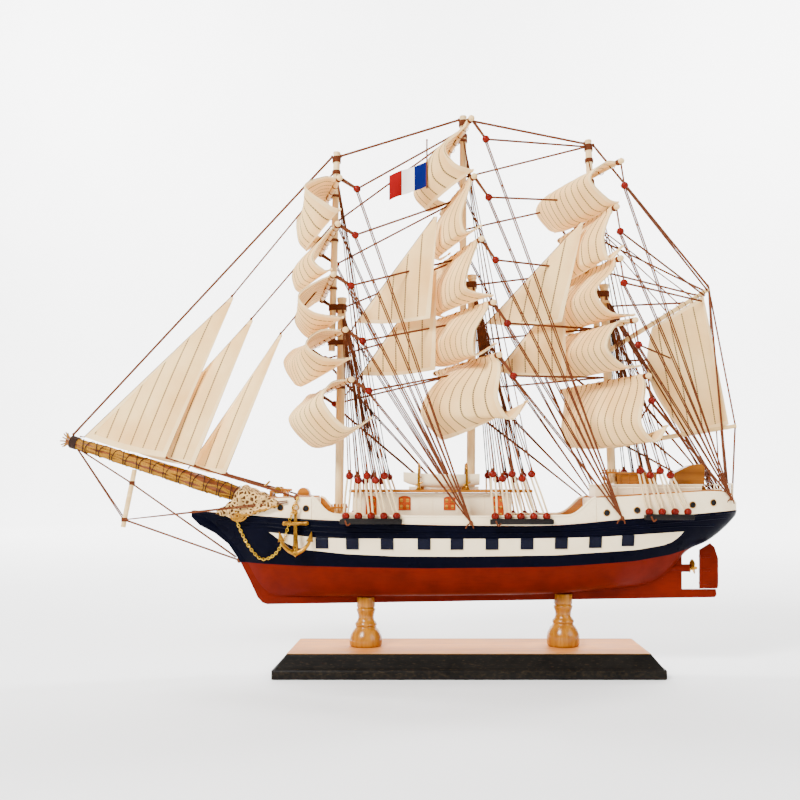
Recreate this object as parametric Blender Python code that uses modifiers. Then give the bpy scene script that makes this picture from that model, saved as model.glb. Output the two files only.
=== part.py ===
"""Display model of a three-masted tall ship on its plinth.

The model is about 0.5 m long. Lengths below are in millimetres and are scaled to metres when a mesh is made.
The frame: the origin is the middle of the plinth's underside, -X points to the bow, -Y to port, +Z up.
"""

import math

import bmesh
import bpy
from mathutils import Vector

MM = 0.001
# Touching pieces keep this gap.
GAP = 0.3
MERGE = 0.0001

# Plinth: a lip all round, a chamfer above it and a flat top.
PLINTH_LENGTH = 279.0
PLINTH_WIDTH = 87.0
PLINTH_HEIGHT = 17.0
PLINTH_LIP = 7.0
PLINTH_CHAMFER = 9.0

# Keel, stem and deadwood are one flat plate that the hull body is built round.
KEEL_THICKNESS = 4.0
KEEL_AT_BOW = (-150.0, 48.3)
KEEL_AT_STERN = (185.0, 53.5)
KEEL_DEPTH = 5.0

PEDESTAL_X = {"pedestal_fore": -76.0, "pedestal_aft": 71.8}
PEDESTAL_CUP = 4.4

# Hull sections: x, half-breadth at the sheer, sheer height, height of the body's bottom, fullness power.
# The breadth at a share t of the height is the half-breadth times t to that power.
HULL_SECTIONS = [
    (-205.0, 1.6, 118.7, 115.0, 0.9),
    (-187.8, 6.0, 117.0, 102.5, 0.9),
    (-167.0, 13.0, 115.4, 79.0, 0.85),
    (-155.0, 17.0, 114.7, 60.0, 0.75),
    (-144.4, 20.0, 114.1, 54.0, 0.62),
    (-121.7, 25.5, 112.8, 54.0, 0.45),
    (-92.4, 29.5, 111.5, 54.3, 0.33),
    (-49.2, 32.0, 109.2, 54.9, 0.25),
    (8.0, 33.0, 108.1, 55.8, 0.22),
    (61.7, 32.5, 108.5, 56.8, 0.25),
    (109.3, 30.5, 112.3, 60.0, 0.4),
    (125.0, 29.3, 113.4, 68.0, 0.46),
    (137.8, 28.0, 114.3, 76.0, 0.5),
    (150.0, 26.2, 115.2, 82.5, 0.5),
    (163.4, 24.0, 116.0, 88.0, 0.48),
    (180.1, 19.0, 117.3, 96.0, 0.46),
    (193.3, 12.5, 118.3, 106.5, 0.45),
    (200.5, 5.0, 118.9, 114.5, 0.45),
]
SECTION_LEVELS = [0.0, 0.04, 0.12, 0.25, 0.42, 0.62, 0.82, 1.0]

# Outline of the plate: stem, forefoot, keel, shoe under the rudder, sternpost, then back inside the body.
STEM_OUTLINE = [
    (-206.5, 118.4),
    (-206.5, 113.5),
    (-200.5, 107.5),
    (-189.0, 101.5),
    (-178.8, 93.3),
    (-169.8, 79.8),
    (-163.0, 66.3),
    (-157.0, 53.5),
    KEEL_AT_BOW,
    KEEL_AT_STERN,
    (186.5, 56.0),
    (186.0, 59.5),
    (160.5, 59.5),
    (160.5, 92.0),
    (120.0, 92.0),
    (-150.0, 92.0),
    (-172.0, 104.0),
    (-196.0, 114.0),
    (-204.0, 118.4),
]
SHAFT_HEIGHT = 75.3
SHAFT_TUBE = {"from": 130.0, "to": 166.2, "radius": 2.2}

RUDDER_POST_X = 174.6
RUDDER_THICKNESS = 3.0
RUDDER_OUTLINE = [
    (173.9, 60.0),
    (187.3, 60.0),
    (188.0, 62.0),
    (188.0, 82.5),
    (185.2, 91.0),
    (182.0, 94.0),
    (173.9, 89.0),
]
PROPELLER = {"hub_from": 166.5, "hub_to": 172.6, "hub_radius": 1.5, "blade_x": 168.6, "radius": 6.7, "blades": 3}

# White upper works. Each wall is as high as its rail above the sheer: x, rail height.
BULWARK_THICKNESS = 1.6
RAIL = [
    (-113.2, 128.6),
    (-108.5, 124.8),
    (-104.0, 119.6),
    (-99.0, 116.4),
    (-88.0, 115.4),
    (-49.2, 114.6),
    (8.0, 114.4),
    (61.7, 115.0),
    (74.0, 115.6),
    (80.5, 119.6),
    (86.0, 125.0),
    (91.3, 128.2),
]
FORECASTLE = [(-158.0, 127.0), (-144.4, 127.6), (-121.7, 128.6), (-113.5, 128.6)]
POOP = [
    (91.6, 128.2),
    (109.3, 129.0),
    (125.0, 130.0),
    (137.8, 130.8),
    (150.0, 131.6),
    (163.4, 132.4),
    (180.1, 133.0),
    (193.3, 131.0),
    (200.0, 124.5),
]

DECKHOUSE = {"x": (-84.0, 32.0), "half_width": 16.0, "z": (111.9, 131.6)}
ROOF = {"x": (-87.0, 47.0), "half_width": 20.5, "z": (131.9, 134.1)}
AFT_CABIN = {"x": (93.5, 172.0), "half_width": 14.5, "top": 138.0}
LIFEBOAT = {"x": (-47.5, 8.6), "y": 12.0, "half_width": 6.8, "z": (134.4, 147.0)}

# Masts: base, cap where the lower mast ends, foot and top of the topmast, each as x, z.
LOWER_MAST_RADIUS = 3.3
TOPMAST_RADIUS = 2.6
MASTS = {
    "fore": {"base": (-96.5, 112.3), "cap": (-94.0, 275.0), "foot": (-101.7, 238.0), "top": (-97.8, 387.0)},
    "main": {"base": (2.6, 134.4), "cap": (3.5, 292.0), "foot": (-3.2, 252.0), "top": (-3.2, 414.0)},
    "mizzen": {"base": (108.5, 138.3), "cap": (102.5, 285.0), "foot": (97.5, 248.0), "top": (90.5, 396.0)},
}
CAP_THICKNESS = 3.0

# Square sails from the top down, one row each: the yard's height, half its span and its brace angle
# in degrees, then the curve from head to foot at the near edge and at the middle of the sail.
# Each curve is four points after the yard itself, as how far ahead of the yard and how far below it.
YARD_RADIUS = 1.6
YARD_OVERHANG = 4.0
SAIL_THICKNESS = 0.8
FAR_EDGE_SHARE = 0.75
SAIL_NAMES = ["royal", "topgallant", "upper_topsail", "lower_topsail", "course"]
SQUARE_SAILS = {
    "fore": [
        (353.8, 39.0, 16.0, [(10, -1), (24, 7), (6, 19), (-1, 21)], [(11, 3), (22, 18), (23, 34), (17, 41)]),
        (320.7, 41.0, 15.0, [(7, 6), (17, 23), (9, 32), (4, 31)], [(9, 6), (25, 22), (25, 35), (19, 39)]),
        (284.7, 43.0, 12.0, [(10, 4), (24, 15), (14, 26), (-7, 29)], [(11, 4), (23, 21), (14, 36), (5, 35)]),
        (245.8, 46.0, 22.5, [(17, 1), (27, 11), (14, 20), (-5, 19)], [(13, 3), (26, 17), (22, 32), (18, 35)]),
        (210.4, 50.0, 19.5, [(13, 2), (19, 15), (2, 33), (-15, 26)], [(13, 6), (32, 24), (16, 44), (2, 43)]),
    ],
    "main": [
        (395.2, 40.0, 12.1, [(6, 7), (18, 20), (11, 31), (-2, 35)], [(12, 6), (25, 20), (32, 40), (22, 52)]),
        (353.8, 42.0, 14.0, [(3, 9), (8, 26), (5, 38), (-6, 33)], [(7, 8), (17, 26), (18, 41), (13, 46)]),
        (309.3, 45.0, 19.0, [(4, 9), (9, 24), (9, 35), (-10, 38)], [(7, 8), (16, 25), (15, 40), (10, 43)]),
        (264.7, 49.0, 27.0, [(5, 8), (13, 22), (12, 37), (-4, 28)], [(8, 6), (18, 22), (14, 35), (6, 38)]),
        (227.3, 53.0, 23.0, [(-3, 9), (-1, 30), (-12, 44), (-24, 31)], [(11, 6), (26, 20), (32, 38), (17, 56)]),
    ],
    "mizzen": [
        (365.2, 42.0, 24.5, [(10, 1), (23, 14), (9, 26), (0, 28)], [(11, 2), (26, 15), (16, 32), (6, 34)]),
        (332.2, 43.0, 17.5, [(4, 7), (8, 22), (3, 36), (-7, 26)], [(7, 6), (16, 19), (16, 34), (11, 41)]),
        (295.7, 45.0, 17.5, [(5, 9), (17, 23), (6, 37), (-13, 38)], [(8, 8), (20, 25), (12, 40), (5, 40)]),
        (252.2, 49.0, 25.0, [(12, 2), (21, 19), (8, 31), (-7, 31)], [(12, 3), (23, 19), (12, 33), (4, 33)]),
        (212.8, 53.0, 24.0, [(0, 11), (3, 33), (-10, 45), (-19, 34)], [(7, 8), (17, 28), (11, 46), (2, 48)]),
    ],
}

# Three-cornered sails: tack, head and clew as x, y, z, then the rope's end beyond the tack.
ROPE_RADIUS = 0.6
STAYSAILS = {
    "flying_jib": ((-287.0, 0.0, 173.5), (-177.0, -1.0, 278.0), (-223.0, -12.0, 157.5), (-290.5, 0.0, 173.9)),
    "outer_jib": ((-252.0, 0.0, 163.3), (-162.5, -1.0, 261.0), (-202.0, -12.0, 151.5), (-254.5, 0.0, 163.1)),
    "inner_jib": ((-208.0, 0.0, 151.5), (-140.5, -1.0, 250.0), (-178.5, -12.0, 146.0), (-209.5, 0.0, 149.8)),
    "main_staysail_upper": ((-82.5, -8.0, 257.8), (-24.5, -26.0, 331.0), (-27.5, -25.0, 258.0), (-90.1, -1.0, 248.0)),
    "main_staysail_lower": ((-80.0, -2.0, 219.5), (-25.0, -16.0, 294.0), (-24.0, -16.0, 222.0), (-90.8, -1.0, 205.0)),
    "mizzen_staysail_upper": ((14.0, -8.0, 257.0), (81.0, -25.0, 327.0), (67.7, -25.0, 255.3), (7.6, -1.0, 250.5)),
    "mizzen_staysail_lower": ((22.0, -2.0, 222.0), (69.0, -16.0, 279.0), (71.8, -16.0, 218.0), (7.3, -1.0, 200.0)),
}

GAFF = {"from": (109.1, 240.0), "to": (180.5, 284.0), "radius": 1.9}
BOOM = {"from": (111.3, 167.0), "to": (201.5, 181.8), "radius": 1.9}
# Throat, peak, clew and tack of the sail between them.
SPANKER = [(138.5, 255.6), (177.0, 279.5), (196.0, 182.9), (161.0, 177.3)]
SPANKER_HOLLOW = 13.0

BOWSPRIT = {"tip": (-299.0, 171.0), "heel": (-160.5, 127.0), "tip_radius": 4.2, "heel_radius": 6.6}
STRIKER = {"top": (-249.5, 149.0), "foot": (-258.2, 106.0), "radius": 1.9}

# Shroud racks: board's x range, board's top, lower beads' x range, upper beads' x range and height, bead count.
BEAD_RADIUS = 2.7
BOARD_WIDTH = 6.5
BOARD_THICKNESS = 3.6
RACKS = {
    "fore": {"board": (-91.8, -47.6), "z": 113.1, "low": (-87.7, -51.4), "high": (-85.3, -60.4), "top": 142.3, "n": 5},
    "main": {"board": (15.0, 60.2), "z": 112.9, "low": (18.6, 55.2), "high": (17.1, 44.9), "top": 143.6, "n": 5},
    "mizzen": {"board": (125.8, 160.8), "z": 116.0, "low": (128.9, 156.6), "high": (123.2, 144.9), "top": 146.0, "n": 4},
}
LANYARD_RADIUS = 0.55
LANYARD_SPREAD = 1.3
UPPER_BEADS_INBOARD = 7.0

ANCHOR = {"x": -124.6, "foot": 86.0, "thickness": 2.4, "stock": 8.0}
# Half the anchor's outline as x, z from its crown: shank, stock and one arm with its fluke.
ANCHOR_OUTLINE = [
    (0.0, 0.0),
    (4.0, 1.0),
    (8.2, 4.0),
    (11.3, 9.5),
    (11.2, 13.4),
    (7.4, 11.4),
    (8.7, 10.6),
    (6.2, 6.5),
    (1.4, 4.0),
    (1.2, 22.4),
    (8.0, 22.4),
    (8.0, 24.8),
    (1.2, 24.8),
    (1.0, 33.0),
]

# The staff stands against the belly of the main royal, and the cloth flies forward from it.
FLAG_STAFF = {"x": -30.0, "y": -28.0, "z": (351.0, 386.0), "radius": 0.7}
FLAG = {"length": 27.1, "height": 17.6, "foot": 1.8, "thickness": 0.8, "slope": 0.384}

# Stays between mastheads: start and end as x, z.
STAY_RADIUS = 0.7
STAYS = {
    "fore_stay": ((-295.4, 175.4), (-101.4, 383.4)),
    "fore_main_stay": ((-94.7, 384.2), (-6.4, 411.2)),
    "main_mizzen_stay": ((0.0, 411.2), (87.4, 393.6)),
    "back_stay": ((94.3, 392.4), (180.2, 286.9)),
}

COLOURS = {
    "natural_wood": ((0.72, 0.47, 0.24), 0.5, 0.0),
    "pale_wood": ((0.83, 0.72, 0.55), 0.5, 0.0),
    "golden_wood": ((0.62, 0.33, 0.06), 0.35, 0.0),
    "black_paint": ((0.02, 0.018, 0.016), 0.45, 0.0),
    "blue_paint": ((0.008, 0.018, 0.05), 0.3, 0.0),
    "red_paint": ((0.38, 0.045, 0.02), 0.35, 0.0),
    "white_paint": ((0.86, 0.82, 0.74), 0.45, 0.0),
    "sail_cloth": ((0.86, 0.76, 0.58), 0.9, 0.0),
    "rope": ((0.14, 0.045, 0.025), 0.8, 0.0),
    "bead_red": ((0.32, 0.03, 0.015), 0.3, 0.0),
    "brass": ((0.6, 0.4, 0.08), 0.3, 0.9),
    "flag_cloth": ((0.05, 0.08, 0.35), 0.85, 0.0),
}


def start_scene():
    """Empties the scene and makes the collection for the model."""
    for item in list(bpy.data.objects):
        bpy.data.objects.remove(item)
    collection = bpy.data.collections.new("display_ship")
    bpy.context.scene.collection.children.link(collection)
    return collection


def make_materials():
    """One material for each paint, wood, cloth and metal."""
    made = {}
    for name, (colour, roughness, metallic) in COLOURS.items():
        material = bpy.data.materials.new(name)
        material.use_nodes = True
        shader = material.node_tree.nodes["Principled BSDF"]
        shader.inputs["Base Color"].default_value = (*colour, 1.0)
        shader.inputs["Roughness"].default_value = roughness
        shader.inputs["Metallic"].default_value = metallic
        made[name] = material
    return made


MODEL = start_scene()
MATERIALS = make_materials()


def add_object(name, mesh, material):
    """Links a mesh as a named object of the model."""
    item = bpy.data.objects.new(name, mesh)
    mesh.materials.clear()
    mesh.materials.append(MATERIALS[material])
    MODEL.objects.link(item)
    return item


def from_bmesh(name, shape, material):
    """Turns a bmesh in millimetres into an object in metres."""
    bmesh.ops.scale(shape, vec=Vector((MM, MM, MM)), verts=shape.verts)
    mesh = bpy.data.meshes.new(name)
    shape.to_mesh(mesh)
    shape.free()
    return add_object(name, mesh, material)


def evaluated_mesh(item):
    """The mesh that the object's modifiers give."""
    bpy.context.view_layer.update()
    graph = bpy.context.evaluated_depsgraph_get()
    return bpy.data.meshes.new_from_object(item.evaluated_get(graph))


def apply_modifiers(item):
    """Replaces the object's mesh by what its modifiers give."""
    mesh = evaluated_mesh(item)
    item.modifiers.clear()
    item.data = mesh


def boolean(item, other, operation):
    """Joins or cuts item with other, which is used up."""
    modifier = item.modifiers.new(operation, "BOOLEAN")
    modifier.operation = operation
    modifier.object = other
    apply_modifiers(item)
    bpy.data.objects.remove(other)
    return item


def fuse(item, others):
    """Joins overlapping pieces into one closed body."""
    for other in others:
        boolean(item, other, "UNION")
    return item


def box(name, low, high, material):
    """A box between two corners."""
    shape = bmesh.new()
    bmesh.ops.create_cube(shape, size=1.0)
    size = Vector(high) - Vector(low)
    middle = (Vector(high) + Vector(low)) / 2
    bmesh.ops.scale(shape, vec=size, verts=shape.verts)
    bmesh.ops.translate(shape, vec=middle, verts=shape.verts)
    return from_bmesh(name, shape, material)


def rod(name, start, end, radius, material, end_radius=None, sides=10):
    """A round rod or cone between two points."""
    start = Vector(start)
    end = Vector(end)
    along = end - start
    shape = bmesh.new()
    bmesh.ops.create_cone(
        shape,
        cap_ends=True,
        segments=sides,
        radius1=radius,
        radius2=radius if end_radius is None else end_radius,
        depth=along.length,
    )
    turn = along.to_track_quat("Z", "Y").to_matrix().to_4x4()
    bmesh.ops.transform(shape, matrix=turn, verts=shape.verts)
    bmesh.ops.translate(shape, vec=(start + end) / 2, verts=shape.verts)
    return from_bmesh(name, shape, material)


def ball(name, centre, radius, material, around=8, rings=6):
    """A round bead."""
    shape = bmesh.new()
    bmesh.ops.create_uvsphere(shape, u_segments=around, v_segments=rings, radius=radius)
    bmesh.ops.translate(shape, vec=Vector(centre), verts=shape.verts)
    return from_bmesh(name, shape, material)


def turned(name, profile, centre, material, sides=20):
    """A turned piece: its profile of radius, height runs from top to bottom."""
    shape = bmesh.new()
    points = [shape.verts.new((radius * MM, 0.0, height * MM)) for radius, height in profile]
    for first, second in zip(points, points[1:]):
        shape.edges.new((first, second))
    mesh = bpy.data.meshes.new(name)
    shape.to_mesh(mesh)
    shape.free()
    item = add_object(name, mesh, material)
    item.location = Vector(centre) * MM
    screw = item.modifiers.new("turn", "SCREW")
    screw.steps = sides
    screw.render_steps = sides
    screw.use_merge_vertices = True
    screw.merge_threshold = MERGE
    apply_modifiers(item)
    item.data.transform(item.matrix_world)
    item.location = (0.0, 0.0, 0.0)
    return item


def plate(name, outline, thickness, material, y=0.0):
    """A flat plate in the XZ plane, from an outline of x, z points."""
    curve = bpy.data.curves.new(name, "CURVE")
    curve.dimensions = "2D"
    curve.fill_mode = "BOTH"
    curve.extrude = thickness / 2 * MM
    spline = curve.splines.new("POLY")
    spline.points.add(len(outline) - 1)
    for point, (x, z) in zip(spline.points, outline):
        point.co = (x * MM, z * MM, 0.0, 1.0)
    spline.use_cyclic_u = True
    drawn = bpy.data.objects.new(name + "_outline", curve)
    MODEL.objects.link(drawn)
    drawn.rotation_euler = (math.radians(90.0), 0.0, 0.0)
    drawn.location = (0.0, y * MM, 0.0)
    mesh = evaluated_mesh(drawn)
    mesh.transform(drawn.matrix_world)
    bpy.data.objects.remove(drawn)
    shape = bmesh.new()
    shape.from_mesh(mesh)
    bmesh.ops.remove_doubles(shape, verts=shape.verts, dist=1e-6)
    bmesh.ops.recalc_face_normals(shape, faces=shape.faces)
    shape.to_mesh(mesh)
    shape.free()
    return add_object(name, mesh, material)


def loft(name, rings, material):
    """A closed skin over rings of equal point counts, with flat ends."""
    shape = bmesh.new()
    rows = [[shape.verts.new(point) for point in ring] for ring in rings]
    count = len(rows[0])
    for row, following in zip(rows, rows[1:]):
        for i in range(count):
            j = (i + 1) % count
            shape.faces.new((row[i], row[j], following[j], following[i]))
    shape.faces.new(rows[0])
    shape.faces.new(rows[-1])
    bmesh.ops.recalc_face_normals(shape, faces=shape.faces)
    return from_bmesh(name, shape, material)


def between(table, x, column):
    """Reads a column of a table sorted by x, in straight lines."""
    for first, second in zip(table, table[1:]):
        if x <= second[0]:
            share = (x - first[0]) / (second[0] - first[0])
            return first[column] + (second[column] - first[column]) * max(0.0, share)
    return table[-1][column]


def half_breadth(x):
    return between(HULL_SECTIONS, x, 1)


def sheer(x):
    return between(HULL_SECTIONS, x, 2)


def keel_bottom(x):
    return between([KEEL_AT_BOW, KEEL_AT_STERN], x, 1)


def build_plinth():
    """The block with its lip and chamfer, and the two turned pedestals that hold the keel."""
    half = (PLINTH_LENGTH / 2, PLINTH_WIDTH / 2)
    top = (half[0] - PLINTH_CHAMFER, half[1] - PLINTH_CHAMFER)
    rings = []
    for (across, deep), height in ((half, 0.0), (half, PLINTH_LIP), (top, PLINTH_HEIGHT)):
        rings.append([(-across, -deep, height), (across, -deep, height), (across, deep, height), (-across, deep, height)])
    loft("plinth", rings, "black_paint")

    for name, x in PEDESTAL_X.items():
        floor = PLINTH_HEIGHT + GAP
        top = keel_bottom(x) + PEDESTAL_CUP
        profile = [
            (0.0, top),
            (6.4, top),
            (6.4, top - 9.0),
            (5.8, top - 9.8),
            (7.2, top - 11.6),
            (5.6, top - 15.5),
            (5.9, top - 18.6),
            (7.8, top - 20.2),
            (7.6, top - 21.6),
            (10.2, top - 25.0),
            (12.2, top - 30.5),
            (12.2, floor + 1.0),
            (11.6, floor),
            (0.0, floor),
        ]
        pedestal = turned(name, profile, (x, 0.0, 0.0), "golden_wood")
        half_slot = KEEL_THICKNESS / 2 + GAP
        slot = box("slot", (x - 10.0, -half_slot, keel_bottom(x) - GAP - 0.1), (x + 10.0, half_slot, top + 5.0), "golden_wood")
        boolean(pedestal, slot, "DIFFERENCE")


def hull_ring(x, breadth, top, bottom, power):
    """One section of the hull body, from port sheer round the bottom to starboard sheer."""
    port = []
    for level in reversed(SECTION_LEVELS):
        width = max(1.2, breadth * level**power)
        port.append((x, -width, bottom + (top - bottom) * level))
    return port + [(px, -py, pz) for px, py, pz in reversed(port)]


def build_hull():
    """Hull body, keel plate and shaft tube as one solid, and the rudder and propeller."""
    hull = loft("hull", [hull_ring(*section) for section in HULL_SECTIONS], "blue_paint")
    spine = plate("spine", STEM_OUTLINE, KEEL_THICKNESS, "red_paint")
    tube = rod(
        "tube",
        (SHAFT_TUBE["from"], 0.0, SHAFT_HEIGHT),
        (SHAFT_TUBE["to"], 0.0, SHAFT_HEIGHT),
        SHAFT_TUBE["radius"],
        "red_paint",
    )
    fuse(hull, [spine, tube])

    plate("rudder", RUDDER_OUTLINE, RUDDER_THICKNESS, "red_paint")

    hub = rod(
        "propeller",
        (PROPELLER["hub_from"], 0.0, SHAFT_HEIGHT),
        (PROPELLER["hub_to"], 0.0, SHAFT_HEIGHT),
        PROPELLER["hub_radius"],
        "brass",
        end_radius=0.9,
    )
    blades = []
    for number in range(PROPELLER["blades"]):
        angle = 2 * math.pi * number / PROPELLER["blades"] + math.pi / 2
        blades.append(propeller_blade(angle))
    fuse(hub, blades)


def propeller_blade(angle):
    """A flat oval blade, pitched about its own length."""
    shape = bmesh.new()
    bmesh.ops.create_uvsphere(shape, u_segments=8, v_segments=6, radius=1.0)
    length = PROPELLER["radius"]
    bmesh.ops.scale(shape, vec=Vector((2.3, 0.6, length / 2)), verts=shape.verts)
    pitch = Vector((0.0, 0.0, 1.0)).rotation_difference(Vector((0.0, math.cos(angle), math.sin(angle))))
    twist = bpy_matrix_z(math.radians(35.0))
    bmesh.ops.transform(shape, matrix=twist, verts=shape.verts)
    bmesh.ops.translate(shape, vec=Vector((0.0, 0.0, length / 2)), verts=shape.verts)
    bmesh.ops.transform(shape, matrix=pitch.to_matrix().to_4x4(), verts=shape.verts)
    bmesh.ops.translate(shape, vec=Vector((PROPELLER["blade_x"], 0.0, SHAFT_HEIGHT)), verts=shape.verts)
    return from_bmesh("blade", shape, "brass")


def bpy_matrix_z(angle):
    """A turn about Z."""
    return Vector((1.0, 0.0, 0.0)).rotation_difference(
        Vector((math.cos(angle), math.sin(angle), 0.0))
    ).to_matrix().to_4x4()


def deck_block(name, heights, inset=0.0):
    """A block over the hull's own outline, from the sheer up to the given heights."""
    rings = []
    for x, top in heights:
        breadth = half_breadth(x) - inset
        low = sheer(x) + GAP
        rings.append([(x, -breadth, low), (x, breadth, low), (x, breadth, top), (x, -breadth, top)])
    return loft(name, rings, "white_paint")


def build_upper_works():
    """Forecastle, poop and the two walls between them."""
    deck_block("forecastle", FORECASTLE)
    deck_block("poop", POOP)
    for name, side in (("bulwark_port", -1.0), ("bulwark_starboard", 1.0)):
        rings = []
        for x, top in RAIL:
            outer = half_breadth(x) * side
            inner = (half_breadth(x) - BULWARK_THICKNESS) * side
            low = sheer(x) + GAP
            rings.append([(x, outer, low), (x, inner, low), (x, inner, top), (x, outer, top)])
        loft(name, rings, "white_paint")


def build_houses():
    """Deckhouse with its roof, aft cabin and the two lifeboats."""
    x0, x1 = DECKHOUSE["x"]
    z0, z1 = DECKHOUSE["z"]
    wide = DECKHOUSE["half_width"]
    box("deckhouse", (x0, -wide, z0), (x1, wide, z1), "white_paint")

    x0, x1 = ROOF["x"]
    z0, z1 = ROOF["z"]
    wide = ROOF["half_width"]
    box("deckhouse_roof", (x0, -wide, z0), (x1, wide, z1), "golden_wood")

    x0, x1 = AFT_CABIN["x"]
    wide = AFT_CABIN["half_width"]
    rings = []
    for x in (x0, x1):
        low = between(POOP, x, 1) - 2.0
        top = AFT_CABIN["top"]
        rings.append([(x, -wide, low), (x, wide, low), (x, wide, top), (x, -wide, top)])
    cabin = loft("aft_cabin", rings, "white_paint")
    fuse(bpy.data.objects["poop"], [cabin])

    for name, side in (("lifeboat_port", -1.0), ("lifeboat_starboard", 1.0)):
        build_lifeboat(name, side)


def build_lifeboat(name, side):
    """A small boat with a pointed bow and a flat transom, on the roof."""
    x0, x1 = LIFEBOAT["x"]
    z0, z1 = LIFEBOAT["z"]
    # share of the length, share of the width, lift of the keel
    sections = [(0.0, 0.12, 6.0), (0.12, 0.5, 2.5), (0.35, 0.9, 0.0), (0.65, 1.0, 0.0), (1.0, 0.8, 0.0)]
    rings = []
    for share, wide, lift in sections:
        x = x0 + (x1 - x0) * share
        half = LIFEBOAT["half_width"] * wide
        low = z0 + lift
        middle = low + (z1 - low) * 0.45
        y = LIFEBOAT["y"] * side
        rings.append(
            [
                (x, y - half, z1),
                (x, y - half * 0.9, middle),
                (x, y - half * 0.4, low),
                (x, y + half * 0.4, low),
                (x, y + half * 0.9, middle),
                (x, y + half, z1),
            ]
        )
    loft(name, rings, "white_paint")


def mast_axis(mast, z):
    """Where the mast that carries a yard at this height stands, and its radius."""
    sizes = MASTS[mast]
    if z > sizes["foot"][1]:
        low, high, radius = sizes["foot"], sizes["top"], TOPMAST_RADIUS
    else:
        low, high, radius = sizes["base"], sizes["cap"], LOWER_MAST_RADIUS
    share = (z - low[1]) / (high[1] - low[1])
    return low[0] + (high[0] - low[0]) * share, radius


def build_masts():
    """Lower masts with their caps, and topmasts."""
    for name, sizes in MASTS.items():
        base = sizes["base"]
        cap = sizes["cap"]
        lower = rod(
            name + "_lower_mast",
            (base[0], 0.0, base[1]),
            (cap[0], 0.0, cap[1]),
            LOWER_MAST_RADIUS,
            "pale_wood",
            sides=14,
        )
        disc = rod(
            "disc",
            (cap[0], 0.0, cap[1] - 0.5),
            (cap[0], 0.0, cap[1] + CAP_THICKNESS),
            LOWER_MAST_RADIUS + 0.4,
            "white_paint",
            sides=14,
        )
        fuse(lower, [disc])
        foot = sizes["foot"]
        top = sizes["top"]
        rod(
            name + "_topmast",
            (foot[0], 0.0, foot[1]),
            (top[0], 0.0, top[1]),
            TOPMAST_RADIUS,
            "pale_wood",
            sides=12,
        )


def yard_place(mast, height, brace):
    """The middle of a yard just ahead of its mast, its direction to port, and the way that its sail faces."""
    mast_x, mast_radius = mast_axis(mast, height)
    turn = math.radians(brace)
    to_port = Vector((math.sin(turn), -math.cos(turn), 0.0))
    ahead = Vector((-math.cos(turn), -math.sin(turn), 0.0))
    middle = Vector((mast_x, 0.0, height)) + ahead * (mast_radius + YARD_RADIUS + GAP + 0.1)
    return middle, to_port, ahead


def build_square_sail(mast, name, row):
    """A sail and the yard that its head is glued round, as one solid."""
    height, span, brace, edge, centre = row
    middle, to_port, ahead = yard_place(mast, height, brace)
    shape = bmesh.new()
    bmesh.ops.create_grid(shape, x_segments=6, y_segments=8, size=1.0)
    for vertex in shape.verts:
        across = vertex.co.x
        forward, lower = sail_curve(edge, centre, across, (1.0 - vertex.co.y) / 2)
        vertex.co = middle + to_port * (span * across) + ahead * forward - Vector((0.0, 0.0, lower))
    sail = from_bmesh(mast + "_" + name, shape, "sail_cloth")
    solid = sail.modifiers.new("cloth", "SOLIDIFY")
    solid.thickness = SAIL_THICKNESS * MM
    solid.offset = 0.0
    apply_modifiers(sail)
    reach = to_port * (span + YARD_OVERHANG)
    yard = rod("yard", middle - reach, middle + reach, YARD_RADIUS, "pale_wood", sides=10)
    fuse(yard, [sail])
    yard.name = mast + "_" + name
    return yard


def sail_curve(edge, centre, across, down):
    """How far ahead and how far below the yard a sail is: across runs from -1 to 1, down from 0 to 1."""
    crown = 1.0 - across**2
    ahead_edge, below_edge = along_curve([(0, 0)] + edge, down)
    ahead_centre, below_centre = along_curve([(0, 0)] + centre, down)
    if across < 0.0:
        ahead_edge *= 1.0 + (1.0 - FAR_EDGE_SHARE) * across
    forward = ahead_edge + (ahead_centre - ahead_edge) * crown
    lower = below_edge + (below_centre - below_edge) * crown
    return forward, lower


def along_curve(points, share):
    """A place on the smooth curve through the points, which are evenly spread from 0 to 1."""
    place = share * (len(points) - 1)
    first = min(int(place), len(points) - 2)
    part = place - first
    before = points[max(first - 1, 0)]
    after = points[min(first + 2, len(points) - 1)]
    result = []
    for axis in (0, 1):
        start, end = points[first][axis], points[first + 1][axis]
        leave, arrive = (end - before[axis]) / 2, (after[axis] - start) / 2
        bend = (2 * start - 2 * end + leave + arrive) * part**3
        bend += (3 * end - 3 * start - 2 * leave - arrive) * part**2
        result.append(start + leave * part + bend)
    return result


def build_staysail(name, tack, head, clew, rope_end):
    """A three-cornered sail with the rope that it is hoisted on."""
    tack = Vector(tack)
    head = Vector(head)
    clew = Vector(clew)
    steps = 5
    shape = bmesh.new()
    bmesh.ops.create_grid(shape, x_segments=steps, y_segments=steps, size=1.0)
    for vertex in shape.verts:
        along = (vertex.co.x + 1) / 2
        up = (vertex.co.y + 1) / 2
        foot = tack.lerp(clew, along)
        top = head.lerp(head + (clew - tack).normalized() * 2.0, along)
        belly = Vector((0.0, -2.5 * math.sin(math.pi * along) * math.sin(math.pi * up), 0.0))
        vertex.co = foot.lerp(top, up) + belly
    sail = from_bmesh("sail", shape, "sail_cloth")
    solid = sail.modifiers.new("cloth", "SOLIDIFY")
    solid.thickness = SAIL_THICKNESS * MM
    solid.offset = 0.0
    apply_modifiers(sail)
    luff = rod(name, tack, head, ROPE_RADIUS, "rope", sides=8)
    tail = rod("tail", rope_end, tack + (head - tack).normalized() * 1.5, ROPE_RADIUS * 0.9, "rope", sides=8)
    fuse(luff, [sail, tail])
    luff.data.materials.clear()
    luff.data.materials.append(MATERIALS["sail_cloth"])


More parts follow.
